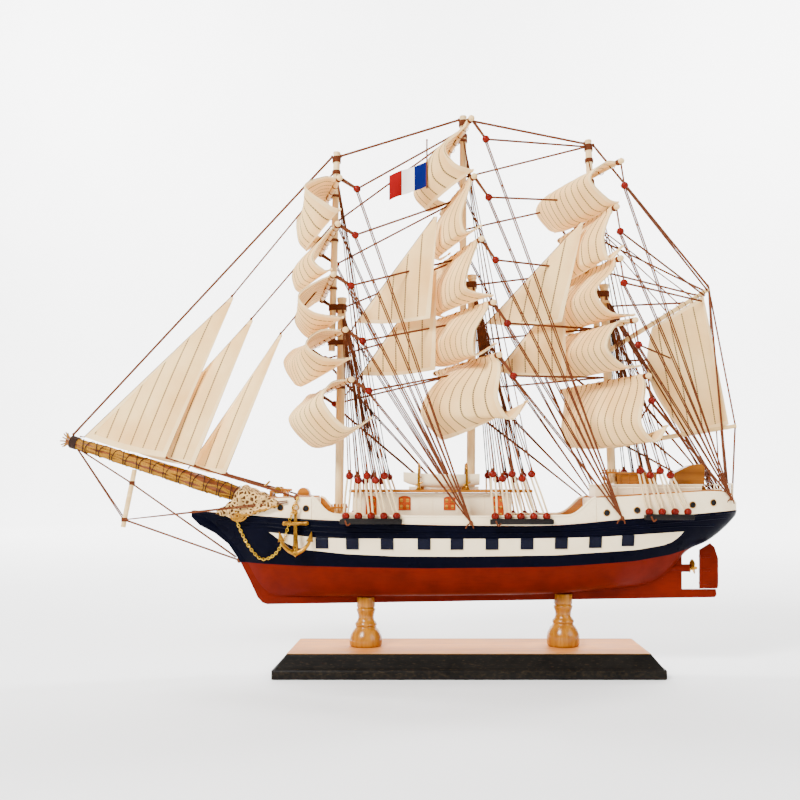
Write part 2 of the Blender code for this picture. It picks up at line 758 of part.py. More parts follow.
def build_spanker():
    """Gaff, boom and the four-cornered sail between them."""
    for name, spar in (("gaff", GAFF), ("boom", BOOM)):
        start = (spar["from"][0], 0.0, spar["from"][1])
        end = (spar["to"][0], 0.0, spar["to"][1])
        rod(name, start, end, spar["radius"], "pale_wood", end_radius=spar["radius"] * 0.8)
    throat, peak, clew, tack = [Vector((x, 0.0, z)) for x, z in SPANKER]
    steps = 6
    shape = bmesh.new()
    bmesh.ops.create_grid(shape, x_segments=steps, y_segments=steps, size=1.0)
    for vertex in shape.verts:
        along = (vertex.co.x + 1) / 2
        up = (vertex.co.y + 1) / 2
        point = tack.lerp(clew, along).lerp(throat.lerp(peak, along), up)
        point.y = -5.0 * math.sin(math.pi * along) * math.sin(math.pi * up)
        point.x -= SPANKER_HOLLOW * (1.0 - along) * math.sin(math.pi * up)
        vertex.co = point
    sail = from_bmesh("spanker", shape, "sail_cloth")
    solid = sail.modifiers.new("cloth", "SOLIDIFY")
    solid.thickness = SAIL_THICKNESS * MM
    solid.offset = 0.0
    apply_modifiers(sail)


def build_bowsprit():
    """The bowsprit and the striker that stands under it."""
    tip = BOWSPRIT["tip"]
    heel = BOWSPRIT["heel"]
    rod(
        "bowsprit",
        (heel[0], 0.0, heel[1]),
        (tip[0], 0.0, tip[1]),
        BOWSPRIT["heel_radius"],
        "golden_wood",
        end_radius=BOWSPRIT["tip_radius"],
        sides=14,
    )
    top = STRIKER["top"]
    foot = STRIKER["foot"]
    rod("dolphin_striker", (top[0], 0.0, top[1]), (foot[0], 0.0, foot[1]), STRIKER["radius"], "pale_wood")


def build_rack(name, sizes, side):
    """A board with its row of beads, the lanyards and the upper beads, as one solid."""
    x0, x1 = sizes["board"]
    inner = max(half_breadth(x0), half_breadth(x1), half_breadth((x0 + x1) / 2)) + GAP + 0.1
    outer = inner + BOARD_WIDTH
    top = sizes["z"]
    ys = sorted((inner * side, outer * side))
    board = box(name, (x0, ys[0], top - BOARD_THICKNESS), (x1, ys[1], top), "black_paint")
    pieces = []
    for number in range(sizes["n"]):
        share = number / (sizes["n"] - 1)
        low_x = sizes["low"][0] + (sizes["low"][1] - sizes["low"][0]) * share
        high_x = sizes["high"][0] + (sizes["high"][1] - sizes["high"][0]) * share
        low = Vector((low_x, (outer - BEAD_RADIUS) * side, top + BEAD_RADIUS * 0.75))
        high = Vector((high_x, (outer - UPPER_BEADS_INBOARD) * side, sizes["top"]))
        pieces.append(ball("bead", low, BEAD_RADIUS, "bead_red"))
        pieces.append(ball("bead", high, BEAD_RADIUS, "bead_red"))
        for spread in (-LANYARD_SPREAD, LANYARD_SPREAD):
            shift = Vector((spread, 0.0, 0.0))
            pieces.append(rod("lanyard", low + shift, high + shift, LANYARD_RADIUS, "pale_wood", sides=6))
    fuse(board, pieces)


def build_anchor(name, side):
    """An anchor with its stock, cut from plate, hanging flat against the hull."""
    other = [(-x, z) for x, z in reversed(ANCHOR_OUTLINE) if x > 0.0]
    outline = [(ANCHOR["x"] + x, ANCHOR["foot"] + z) for x, z in ANCHOR_OUTLINE + other]
    y = (half_breadth(ANCHOR["x"] + ANCHOR["stock"]) + ANCHOR["thickness"] / 2 + GAP) * side
    plate(name, outline, ANCHOR["thickness"], "brass", y)


def build_flag():
    """The flag and its staff, which stands against the main royal."""
    x, y = FLAG_STAFF["x"], FLAG_STAFF["y"]
    low, high = FLAG_STAFF["z"]
    staff = rod("flag", (x, y, low), (x, y, high), FLAG_STAFF["radius"], "rope", sides=8)
    shape = bmesh.new()
    bmesh.ops.create_grid(shape, x_segments=6, y_segments=1, size=1.0)
    for vertex in shape.verts:
        along = (1.0 - vertex.co.x) / 2
        up = (vertex.co.y + 1) / 2
        fly = FLAG["length"] * along
        z = low + FLAG["foot"] + FLAG["height"] * up - fly * FLAG["slope"]
        vertex.co = Vector((x - fly, y + 1.2 * math.sin(6.0 * along), z))
    cloth = from_bmesh("cloth", shape, "flag_cloth")
    solid = cloth.modifiers.new("cloth", "SOLIDIFY")
    solid.thickness = FLAG["thickness"] * MM
    solid.offset = 0.0
    apply_modifiers(cloth)
    fuse(staff, [cloth])
    staff.data.materials.clear()
    staff.data.materials.append(MATERIALS["flag_cloth"])


def build_stays():
    """The main stays, drawn tight between the mastheads."""
    for name, (start, end) in STAYS.items():
        rod(name, (start[0], 0.0, start[1]), (end[0], 0.0, end[1]), STAY_RADIUS, "rope", sides=6)


build_plinth()
build_hull()
build_upper_works()
build_houses()
build_masts()
build_bowsprit()
for mast_name, rows in SQUARE_SAILS.items():
    for sail_name, sail_row in zip(SAIL_NAMES, rows):
        build_square_sail(mast_name, sail_name, sail_row)
for sail_name, corners in STAYSAILS.items():
    build_staysail(sail_name, *corners)
build_spanker()
for rack_name, rack_sizes in RACKS.items():
    build_rack(rack_name + "_rack_port", rack_sizes, -1.0)
    build_rack(rack_name + "_rack_starboard", rack_sizes, 1.0)
build_anchor("anchor_port", -1.0)
build_anchor("anchor_starboard", 1.0)
build_flag()
build_stays()
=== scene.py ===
"""Display model of a three-masted tall ship on a plinth.

Every size is in millimetres in the part's own frame, with the bow at -X, port at -Y and the
origin under the middle of the plinth. MM turns it into the metres of the scene.
"""

import logging
import math
import random
from collections.abc import Callable
from dataclasses import dataclass
from enum import Enum

import bmesh
import bpy
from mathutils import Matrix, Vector, noise

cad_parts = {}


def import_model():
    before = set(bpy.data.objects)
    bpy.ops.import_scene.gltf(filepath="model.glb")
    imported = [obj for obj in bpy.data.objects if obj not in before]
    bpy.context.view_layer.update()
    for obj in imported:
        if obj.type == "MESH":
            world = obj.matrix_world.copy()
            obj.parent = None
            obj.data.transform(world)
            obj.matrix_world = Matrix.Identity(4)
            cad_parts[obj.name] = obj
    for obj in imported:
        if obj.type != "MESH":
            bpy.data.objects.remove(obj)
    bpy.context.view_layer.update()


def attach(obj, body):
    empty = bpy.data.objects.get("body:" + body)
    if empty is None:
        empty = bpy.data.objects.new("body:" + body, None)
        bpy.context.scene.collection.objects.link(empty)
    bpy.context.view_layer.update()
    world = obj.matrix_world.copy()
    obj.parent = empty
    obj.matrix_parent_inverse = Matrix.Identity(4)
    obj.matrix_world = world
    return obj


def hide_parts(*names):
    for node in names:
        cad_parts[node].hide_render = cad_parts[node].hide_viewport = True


LOG = logging.getLogger("tall_ship")
MM = 0.001
X_AXIS = Vector((1.0, 0.0, 0.0))
Y_AXIS = Vector((0.0, 1.0, 0.0))
Z_AXIS = Vector((0.0, 0.0, 1.0))
Point = tuple[float, float, float]
Pair = tuple[float, float]
Socket = bpy.types.NodeSocket


class Slot(Enum):
    """The material slots."""

    PLINTH = "plinth_wood"
    GOLDEN = "golden_wood"
    PALE = "pale_wood"
    HULL = "hull_paint"
    RED = "hull_red"
    WHITE = "white_paint"
    RACK = "rack_paint"
    SAIL = "sail_cloth"
    ROPE = "rope"
    FLAG = "flag_cloth"
    BRASS = "brass"


class Body(Enum):
    """The bodies that a piece can ride on."""

    SHIP = "ship"
    RUDDER = "rudder"
    PROPELLER = "propeller"


class Side(Enum):
    """The two sides of the ship, as the sign of Y."""

    PORT = -1.0
    STARBOARD = 1.0


class ShaderTree:
    """A material's nodes, made and joined in a few words."""

    def __init__(self, name: str, roughness: float, metallic: float = 0.0, **uniform: float) -> None:
        """Start a material with its shader.

        Args:
            name: the material's name.
            roughness: the shader's roughness where nothing is joined to it.
            metallic: the shader's metallic value.
            uniform: other sockets of the shader that hold one number all over.
        """
        self.material = bpy.data.materials.new(name)
        self.material.use_nodes = True
        self.tree = self.material.node_tree
        self.shader = self.tree.nodes["Principled BSDF"]
        for socket, value in {"Roughness": roughness, "Metallic": metallic, **uniform}.items():
            self.shader.inputs[socket.replace("_", " ")].default_value = value

    def node(self, kind: str, inputs: dict | None = None, **settings: str | bool) -> bpy.types.Node:
        """Add one node.

        Args:
            kind: the node's type without the ShaderNode in front.
            inputs: values or sockets for its inputs, by name or number.
            settings: the node's own properties.

        Returns:
            The new node.
        """
        made = self.tree.nodes.new("ShaderNode" + kind)
        for key, value in settings.items():
            setattr(made, key, value)
        for key, value in (inputs or {}).items():
            if isinstance(value, Socket):
                self.tree.links.new(value, made.inputs[key])
            else:
                made.inputs[key].default_value = value
        return made

    def place(self, stretch: Point = (1.0, 1.0, 1.0), uv: bool = False) -> Socket:
        """Give the surface's coordinates, in metres or from its UV map.

        Args:
            stretch: how much each axis is scaled.
            uv: whether the UV map is used in place of the object's own coordinates.

        Returns:
            The socket that holds the coordinates.
        """
        source = self.node("TexCoord").outputs["UV" if uv else "Object"]
        return self.node("Mapping", {"Vector": source, "Scale": stretch}).outputs["Vector"]

    def noise(self, place: Socket, scale: float, detail: float = 4.0) -> Socket:
        """Return the value of a noise at a place."""
        return self.node("TexNoise", {"Vector": place, "Scale": scale, "Detail": detail}).outputs["Fac"]

    def ramp(self, value: Socket, stops: list[tuple[float, Point]]) -> Socket:
        """Turn a value into a colour.

        Args:
            value: the value from 0 to 1.
            stops: where each colour stands, and the colour.

        Returns:
            The colour's socket.
        """
        made = self.node("ValToRGB", {"Fac": value})
        band = made.color_ramp
        while len(band.elements) < len(stops):
            band.elements.new(0.5)
        for element, (stand, colour) in zip(band.elements, stops):
            element.position = stand
            element.color = (*colour, 1.0)
        return made.outputs["Color"]

    def mix(self, share: Socket, first: Socket | Point, second: Socket | Point) -> Socket:
        """Mix two colours.

        Args:
            share: how much of the second colour shows.
            first: a colour or a socket.
            second: a colour or a socket.

        Returns:
            The mixed colour's socket.
        """
        ends = [end if isinstance(end, Socket) else (*end, 1.0) for end in (first, second)]
        return self.node("Mix", {0: share, 6: ends[0], 7: ends[1]}, data_type="RGBA").outputs[2]

    def math(self, operation: str, *values: Socket | float) -> Socket:
        """Work out one number from others."""
        return self.node("Math", dict(enumerate(values)), operation=operation).outputs["Value"]

    def span(self, value: Socket, low: float, high: float, a: float = 0.0, b: float = 1.0) -> Socket:
        """Return the value stretched from low..high to a..b, and held there."""
        return self.node("MapRange", {"Value": value, 1: low, 2: high, 3: a, 4: b}, clamp=True).outputs[0]

    def bump(self, *layers: tuple[Socket, float, float]) -> None:
        """Join bumps to the shader.

        Args:
            layers: for each bump its height, its strength and its depth in millimetres.
        """
        normal = None
        for height, strength, depth in layers:
            made = self.node("Bump", {"Height": height, "Strength": strength, "Distance": depth * MM})
            if normal is not None:
                self.tree.links.new(normal, made.inputs["Normal"])
            normal = made.outputs["Normal"]
        self.join("Normal", normal)

    def join(self, name: str, value: Socket) -> None:
        """Join a socket to the shader's input of that name."""
        self.tree.links.new(value, self.shader.inputs[name])


class Finish:
    """A finish with its slot, whose material is made once and then shared."""

    slot: Slot
    _made: dict = {}

    def material(self) -> bpy.types.Material:
        """Return the finish's material."""
        if self not in Finish._made:
            Finish._made[self] = self.make()
        return Finish._made[self]

    def make(self) -> bpy.types.Material:
        """Make the material."""
        raise NotImplementedError


@dataclass(frozen=True)
class VarnishedWood(Finish):
    """Wood with its grain along X, Y or Z under a clear varnish."""

    name: str
    slot: Slot
    light: Point
    dark: Point
    gloss: float = 0.35
    grain_axis: int = 0
    coat: float = 0.08
    plank: float = 0.0
    grain_length: float = 0.1
    figure: float = 260.0

    def make(self) -> bpy.types.Material:
        """Make the wood: long streaks, fine pores, and planks where they have a width."""
        coats = {"Coat_Weight": self.coat, "Coat_Roughness": 0.2, "Specular_IOR_Level": 0.2}
        pen = ShaderTree(self.name, self.gloss, **coats)
        place = pen.place(tuple(self.grain_length if axis == self.grain_axis else 1.0 for axis in range(3)))
        streaks = pen.noise(place, self.figure, 6.0)
        pores = pen.noise(place, self.figure * 9.0, 3.0)
        blotch = pen.noise(pen.place(), 35.0, 2.0)
        value = pen.math("MULTIPLY_ADD", streaks, 0.75, pen.math("MULTIPLY", blotch, 0.25))
        middle = tuple((a + b) / 2 for a, b in zip(self.light, self.dark))
        colour = pen.ramp(value, [(0.3, self.dark), (0.5, middle), (0.68, self.light)])
        colour = pen.mix(pen.span(pores, 0.6, 0.75, 0.0, 0.35), colour, self.dark)
        layers = [(streaks, 0.25, 0.15), (pores, 0.2, 0.08)]
        if self.plank:
            seam = self.plank_seam(pen)
            colour = pen.mix(seam, colour, tuple(0.25 * part for part in self.dark))
            layers.append((pen.math("SUBTRACT", 1.0, seam), 0.6, 0.3))
        pen.join("Base Color", colour)
        pen.join("Roughness", pen.span(streaks, 0.3, 0.7, self.gloss - 0.06, self.gloss + 0.08))
        pen.bump(*layers)
        return pen.material

    def plank_seam(self, pen: ShaderTree) -> Socket:
        """Find the seams between planks, which run along X.

        Args:
            pen: the material that is being made.

        Returns:
            A socket that is 1 on the seams and 0 on the planks.
        """
        across = pen.node("SeparateXYZ", {0: pen.place()}).outputs["Y"]
        share = pen.math("FRACT", pen.math("DIVIDE", across, self.plank * MM))
        return pen.span(pen.math("ABSOLUTE", pen.math("SUBTRACT", share, 0.5)), 0.44, 0.48)


@dataclass(frozen=True)
class Paint(Finish):
    """Brushed paint, worn along its edges."""

    name: str
    slot: Slot
    colour: Point
    shade: Point
    roughness: float = 0.35
    coat: float = 0.04
    worn: Point | None = None
    wear: float = 0.0
    flecks: float = 0.0
    shine: float = 0.1

    def make(self) -> bpy.types.Material:
        """Make the paint: soft clouds, brush marks, and wear on the edges."""
        coats = {"Coat_Weight": self.coat, "Coat_Roughness": 0.2, "Specular_IOR_Level": self.shine}
        pen = ShaderTree(self.name, self.roughness, **coats)
        clouds = pen.noise(pen.place(), 60.0, 5.0)
        brush = pen.noise(pen.place((0.12, 1.0, 1.0)), 900.0, 3.0)
        colour = pen.mix(pen.span(clouds, 0.35, 0.7, 0.0, 0.6), self.colour, self.shade)
        colour = pen.mix(pen.span(brush, 0.45, 0.75, 0.0, 0.3), colour, self.shade)
        if self.worn:
            edge = pen.node("NewGeometry").outputs["Pointiness"]
            grit = pen.noise(pen.place(), 420.0, 4.0)
            rubbed = pen.math("MULTIPLY", pen.span(edge, 0.56, 0.66), pen.span(grit, 0.45, 0.65))
            colour = pen.mix(pen.math("MULTIPLY", rubbed, self.wear), colour, self.worn)
            specks = pen.noise(pen.place((0.25, 1.0, 1.0)), 1300.0, 6.0)
            colour = pen.mix(pen.span(specks, 0.58, 0.75, 0.0, self.flecks), colour, self.worn)
        pen.join("Base Color", colour)
        pen.join("Roughness", pen.span(clouds, 0.3, 0.7, self.roughness - 0.05, self.roughness + 0.1))
        pen.bump((brush, 0.18, 0.06), (clouds, 0.12, 0.3))
        return pen.material


@dataclass(frozen=True)
class SailCloth(Finish):
    """Cream cloth with its weave, and dark stitching along the seams of its panels.

    The UV map holds the place on the cloth: 100 mm is 1 both across the panels and along them.
    """

    name: str
    panel: float = 7.0
    light: Point = (0.96, 0.65, 0.28)
    deep: Point = (0.80, 0.45, 0.15)
    stitched: bool = True
    slot: Slot = Slot.SAIL

    def make(self) -> bpy.types.Material:
        """Make the cloth: a fine weave, faint stains, and a row of stitches on each seam."""
        pen = ShaderTree(self.name, 0.85, Sheen_Weight=0.03, Sheen_Roughness=0.5, Specular_IOR_Level=0.08)
        uv = pen.place(uv=True)
        stains = pen.noise(pen.place(), 28.0, 5.0)
        threads = pen.noise(pen.place(), 2600.0, 2.0)
        wave = {"Vector": uv, "Scale": 95.0, "Distortion": 0.4}
        warp, weft = (pen.node("TexWave", wave, bands_direction=way).outputs["Fac"] for way in "XY")
        colour = pen.mix(pen.span(stains, 0.35, 0.7), self.light, self.deep)
        colour = pen.mix(pen.span(threads, 0.4, 0.75, 0.0, 0.3), colour, self.deep)
        layers = [(pen.math("MULTIPLY", warp, weft), 0.3, 0.08), (threads, 0.25, 0.08), (stains, 0.2, 0.8)]
        if self.stitched:
            line, stitch = self.stitching(pen, pen.node("SeparateXYZ", {0: uv}))
            colour = pen.mix(pen.math("MULTIPLY", line, 0.45), colour, (0.46, 0.27, 0.10))
            colour = pen.mix(stitch, colour, (0.07, 0.045, 0.03))
            layers.append((line, 0.5, 0.25))
        pen.join("Base Color", colour)
        pen.bump(*layers)
        return pen.material

    def stitching(self, pen: ShaderTree, parts: bpy.types.Node) -> tuple[Socket, Socket]:
        """Find the seams and the stitches on them.

        Args:
            pen: the material that is being made.
            parts: the node with the cloth's coordinates.

        Returns:
            The seam's socket and the stitches' socket, both 1 on the line.
        """
        share = pen.math("FRACT", pen.math("DIVIDE", parts.outputs["X"], self.panel / 100.0))
        nearer = pen.math("MINIMUM", share, pen.math("SUBTRACT", 1.0, share))
        from_seam = pen.math("MULTIPLY", nearer, self.panel)
        beat = pen.math("FRACT", pen.math("DIVIDE", parts.outputs["Y"], 0.017))
        stitch = pen.math("MULTIPLY", pen.span(from_seam, 0.44, 0.3), pen.span(beat, 0.8, 0.74))
        return pen.span(from_seam, 0.75, 0.45), stitch


@dataclass(frozen=True)
class Thread(Finish):
    """Twisted thread."""

    name: str
    colour: Point
    shade: Point
    twist: float = 900.0
    slot: Slot = Slot.ROPE

    def make(self) -> bpy.types.Material:
        """Make the thread: slanting strands with painted shade in the grooves between them, and a few fibres.
        """
        pen = ShaderTree(self.name, 0.78, Specular_IOR_Level=0.1)
        wave = {"Vector": pen.place(), "Scale": self.twist}
        strands = pen.node("TexWave", wave, bands_direction="DIAGONAL").outputs["Fac"]
        fibres = pen.noise(pen.place(), 1500.0, 3.0)
        value = pen.math("MULTIPLY_ADD", strands, 0.6, pen.math("MULTIPLY", fibres, 0.5))
        # The dark troughs of the strand pattern are painted shade in the grooves; the fibre noise is the
        # thread's own uneven tone.
        pen.join("Base Color", pen.ramp(value, [(0.25, self.shade), (0.8, self.colour)]))
        pen.bump((strands, 0.5, 0.15), (fibres, 0.3, 0.1))
        return pen.material


@dataclass(frozen=True)
class Metal(Finish):
    """Cast brass, with patches of duller tarnish."""

    name: str
    colour: Point
    tarnish: Point
    roughness: float = 0.28
    slot: Slot = Slot.BRASS

    def make(self) -> bpy.types.Material:
        """Make the brass: fine scratches and patches of tarnish."""
        pen = ShaderTree(self.name, self.roughness, metallic=1.0)
        patches = pen.noise(pen.place(), 180.0, 5.0)
        scratches = pen.noise(pen.place((1.0, 1.0, 0.1)), 2200.0, 2.0)
        pen.join("Base Color", pen.mix(pen.span(patches, 0.45, 0.75), self.colour, self.tarnish))
        pen.join("Roughness", pen.span(patches, 0.35, 0.75, self.roughness - 0.06, self.roughness + 0.2))
        pen.bump((scratches, 0.2, 0.08), (patches, 0.2, 0.2))
        return pen.material


@dataclass(frozen=True)
class Net(Finish):
    """Knotted netting: pale cords round holes painted dark as shade."""

    name: str
    cord: Point
    hole_shade: Point
    mesh: float = 310.0
    slot: Slot = Slot.ROPE

    def make(self) -> bpy.types.Material:
        """Make the netting: cells with raised cords in lighter and darker patches, and painted shade in the
        holes.
        """
        pen = ShaderTree(self.name, 0.85, Specular_IOR_Level=0.1)
        grid = {"Vector": pen.place(), "Scale": self.mesh}
        cells = pen.node("TexVoronoi", grid, feature="DISTANCE_TO_EDGE")
        cord = pen.span(cells.outputs["Distance"], 0.1, 0.22, 1.0, 0.0)
        patches = pen.noise(pen.place(), 130.0, 4.0)
        dim = tuple(0.55 * part for part in self.cord)
        lit = pen.mix(pen.span(patches, 0.4, 0.65), self.cord, dim)
        # The holes between the cords take the dark colour as painted shade from inside the heap.
        pen.join("Base Color", pen.mix(cord, self.hole_shade, lit))
        pen.bump((cord, 0.9, 0.5), (patches, 0.4, 0.8))
        return pen.material


@dataclass(frozen=True)
class Gloss(Finish):
    """Glossy enamel, as on the beads."""

    name: str
    slot: Slot
    colour: Point
    shade: Point
    roughness: float = 0.16

    def make(self) -> bpy.types.Material:
        """Make the enamel: a deep colour with faint orange peel under a clear coat."""
        coats = {"Coat_Weight": 0.04, "Coat_Roughness": 0.08, "Specular_IOR_Level": 0.08}
        pen = ShaderTree(self.name, self.roughness, **coats)
        clouds = pen.noise(pen.place(), 320.0, 4.0)
        pen.join("Base Color", pen.mix(pen.span(clouds, 0.35, 0.7), self.colour, self.shade))
        pen.join("Roughness", pen.span(clouds, 0.3, 0.7, self.roughness, self.roughness + 0.12))
        pen.bump((clouds, 0.12, 0.2))
        return pen.material


HONEY = VarnishedWood("honey_wood", Slot.GOLDEN, (0.47, 0.165, 0.007), (0.22, 0.058, 0.003), 0.4)
TURNED = VarnishedWood(
    "turned_wood", Slot.GOLDEN, (0.42, 0.165, 0.006), (0.22, 0.068, 0.003), 0.25, grain_axis=2, coat=0.3,
)
PLINTH_TOP = VarnishedWood(
    "plinth_top_wood", Slot.PLINTH, (0.66, 0.25, 0.045), (0.42, 0.125, 0.016), 0.62, coat=0.0,
)
PLANKS = VarnishedWood("deck_planks", Slot.GOLDEN, (0.56, 0.22, 0.02), (0.34, 0.11, 0.008), 0.5, plank=3.2)
SPAR = VarnishedWood("spar_wood", Slot.PALE, (0.86, 0.62, 0.29), (0.66, 0.39, 0.13), 0.5)
MAST = VarnishedWood("mast_wood", Slot.PALE, (0.88, 0.67, 0.36), (0.64, 0.39, 0.14), 0.45, grain_axis=2)
BROWN = VarnishedWood("brown_wood", Slot.GOLDEN, (0.24, 0.065, 0.012), (0.09, 0.02, 0.005), 0.4)
CABIN_WOOD = VarnishedWood("cabin_wood", Slot.GOLDEN, (0.34, 0.115, 0.006), (0.16, 0.042, 0.003), 0.35)
PLINTH_EDGE = Paint("plinth_edge", Slot.PLINTH, (0.34, 0.16, 0.035), (0.20, 0.08, 0.018), 0.45)
PLINTH_BLACK = Paint(
    "plinth_black", Slot.PLINTH, (0.005, 0.0045, 0.004), (0.012, 0.010, 0.008), 0.45,
    worn=(0.10, 0.065, 0.03), wear=0.6, flecks=0.25, shine=0.04,
)
NAVY = Paint(
    "navy_paint", Slot.HULL, (0.0009, 0.0011, 0.0045), (0.0018, 0.0020, 0.0072), 0.3, 0.0,
    worn=(0.02, 0.02, 0.035), wear=0.3, shine=0.02,
)
UNDERBODY = Paint(
    "underbody_red", Slot.RED, (0.118, 0.0072, 0.0022), (0.066, 0.0040, 0.0014), 0.34, 0.0, shine=0.03,
)
CREAM = Paint(
    "cream_white", Slot.WHITE, (0.97, 0.81, 0.53), (0.91, 0.71, 0.42), 0.5, 0.0,
    worn=(0.55, 0.36, 0.18), wear=0.25,
)
BLACK = Paint(
    "rack_black", Slot.RACK, (0.006, 0.005, 0.005), (0.015, 0.012, 0.010), 0.42,
    worn=(0.10, 0.05, 0.03), wear=0.3,
)
KNOB = Paint("ivory_knob", Slot.PALE, (0.88, 0.60, 0.27), (0.72, 0.44, 0.17), 0.35, 0.05)
CLOTH = SailCloth("sail_panels")
STAY_CLOTH = SailCloth("staysail_panels", panel=10.0)
HEM_CLOTH = SailCloth("sail_hem", stitched=False, light=(0.97, 0.71, 0.36), deep=(0.86, 0.55, 0.23))
FLAG_COLOURS = [
    SailCloth("flag_" + name, stitched=False, light=light, deep=deep, slot=Slot.FLAG)
    for name, light, deep in (
        ("blue", (0.0010, 0.0042, 0.095), (0.0008, 0.003, 0.06)),
        ("white", (0.90, 0.87, 0.82), (0.78, 0.73, 0.66)),
        ("red", (0.26, 0.0010, 0.0016), (0.17, 0.0008, 0.0012)),
    )
]
ROPE = Thread("red_brown_thread", (0.165, 0.044, 0.014), (0.06, 0.015, 0.006))
# Dark thread for the bowsprit's ties, also used as painted shade on the far shrouds.
DARK_AND_SHADED_ROPE = Thread("dark_and_shaded_thread", (0.045, 0.022, 0.015), (0.012, 0.007, 0.006))
PALE_ROPE = Thread("cream_thread", (0.88, 0.68, 0.40), (0.56, 0.36, 0.15))
GOLD_ROPE = Thread("golden_strands", (0.50, 0.23, 0.02), (0.12, 0.045, 0.005))
# Cord colour, then hole colour: the dark hole colour is painted shade.
NETTING = Net("cream_netting", (0.78, 0.48, 0.17), (0.07, 0.028, 0.008))
BRASS = Metal("cast_brass", (0.44, 0.20, 0.018), (0.11, 0.045, 0.006))
CHAIN_BRASS = Metal("bright_brass", (0.80, 0.50, 0.045), (0.42, 0.22, 0.018))
BEAD = Gloss("bead_red", Slot.RACK, (0.17, 0.0065, 0.0022), (0.08, 0.0035, 0.0015))
PORT_ENAMEL = Gloss("port_navy", Slot.HULL, (0.0008, 0.0012, 0.0075), (0.0016, 0.0022, 0.012), 0.34)
WINDOW_RED = Gloss("window_orange", Slot.GOLDEN, (0.48, 0.065, 0.006), (0.30, 0.035, 0.004), 0.3)
PANE = Gloss("gold_pane", Slot.GOLDEN, (0.60, 0.30, 0.03), (0.34, 0.14, 0.015), 0.25)
# Painted shade for the inside of the portholes.
PORT_SHADE = Gloss("porthole_shade", Slot.HULL, (0.006, 0.006, 0.007), (0.014, 0.014, 0.016), 0.2)


def spaced(start: float, end: float, count: int) -> list[float]:
    """Return count + 1 evenly spaced values from start to end."""
    return [start + (end - start) * number / count for number in range(count + 1)]


def loop(centre: Vector, across: Vector, up: Vector, count: int) -> list[Vector]:
    """Return a closed loop of points.

    Args:
        centre: its middle.
        across: the way from the middle to the first point.
        up: the way from the middle to the point a quarter of a turn on.
        count: how many steps it has.

    Returns:
        The points, with the first again at the end.
    """
    return [centre + across * math.cos(a) + up * math.sin(a) for a in spaced(0.0, 2 * math.pi, count)]


def upright(place: Pair) -> Vector:
    """Return the point of the ship's middle plane at a place along it and a height."""
    return Vector((place[0], 0.0, place[1]))


def curve_through(points: list, steps: int = 6) -> list[Vector]:
    """Return a smooth line through the points.

    Args:
        points: the places that the line passes, in order.
        steps: how many pieces each stretch is cut into.

    Returns:
        The line's points.
    """
    path = [Vector(point) for point in points]
    if len(path) < 3:
        return path
    line = []
    for number in range(len(path) - 1):
        start, end = path[number], path[number + 1]
        leave = (end - path[max(number - 1, 0)]) / 2
        arrive = (path[min(number + 2, len(path) - 1)] - start) / 2
        for step in range(steps):
            a, b, c, d = hermite(step / steps)
            line.append(start * a + leave * b + end * c + arrive * d)
    return line + [path[-1]]


def hermite(t: float) -> tuple[float, float, float, float]:
    """Return the weights of a smooth stretch: its start, its slope there, its end, its slope there."""
    return 2 * t**3 - 3 * t**2 + 1, t**3 - 2 * t**2 + t, 3 * t**2 - 2 * t**3, t**3 - t**2


def between(table: tuple, place: float) -> tuple:
    """Read a table whose rows start with a place, with straight lines between its rows.

    Args:
        table: rows of numbers in rising order of their first.
        place: where the table is read.

    Returns:
        The other numbers of the row at that place.
    """
    if place <= table[0][0]:
        return table[0][1:]
    for low, high in zip(table, table[1:]):
        if place <= high[0]:
            share = (place - low[0]) / (high[0] - low[0])
            return tuple(a + (b - a) * share for a, b in zip(low[1:], high[1:]))
    return table[-1][1:]


def smooth_between(table: tuple, place: float) -> tuple:
    """Read a table as between() does, but along a smooth curve through its rows.

    Args:
        table: rows of numbers in rising order of their first.
        place: where the table is read.

    Returns:
        The other numbers of the row at that place.
    """
    last = len(table) - 1
    first = 0
    while first < last - 1 and place > table[first + 1][0]:
        first += 1
    start, end = table[first], table[first + 1]
    width = end[0] - start[0]
    a, b, c, d = hermite(min(max((place - start[0]) / width, 0.0), 1.0))
    result = []
    for column in range(1, len(start)):
        slopes = []
        for here in (first, first + 1):
            low, high = table[max(here - 1, 0)], table[min(here + 1, last)]
            slopes.append((high[column] - low[column]) / (high[0] - low[0]) * width)
        result.append(start[column] * a + slopes[0] * b + end[column] * c + slopes[1] * d)
    return tuple(result)


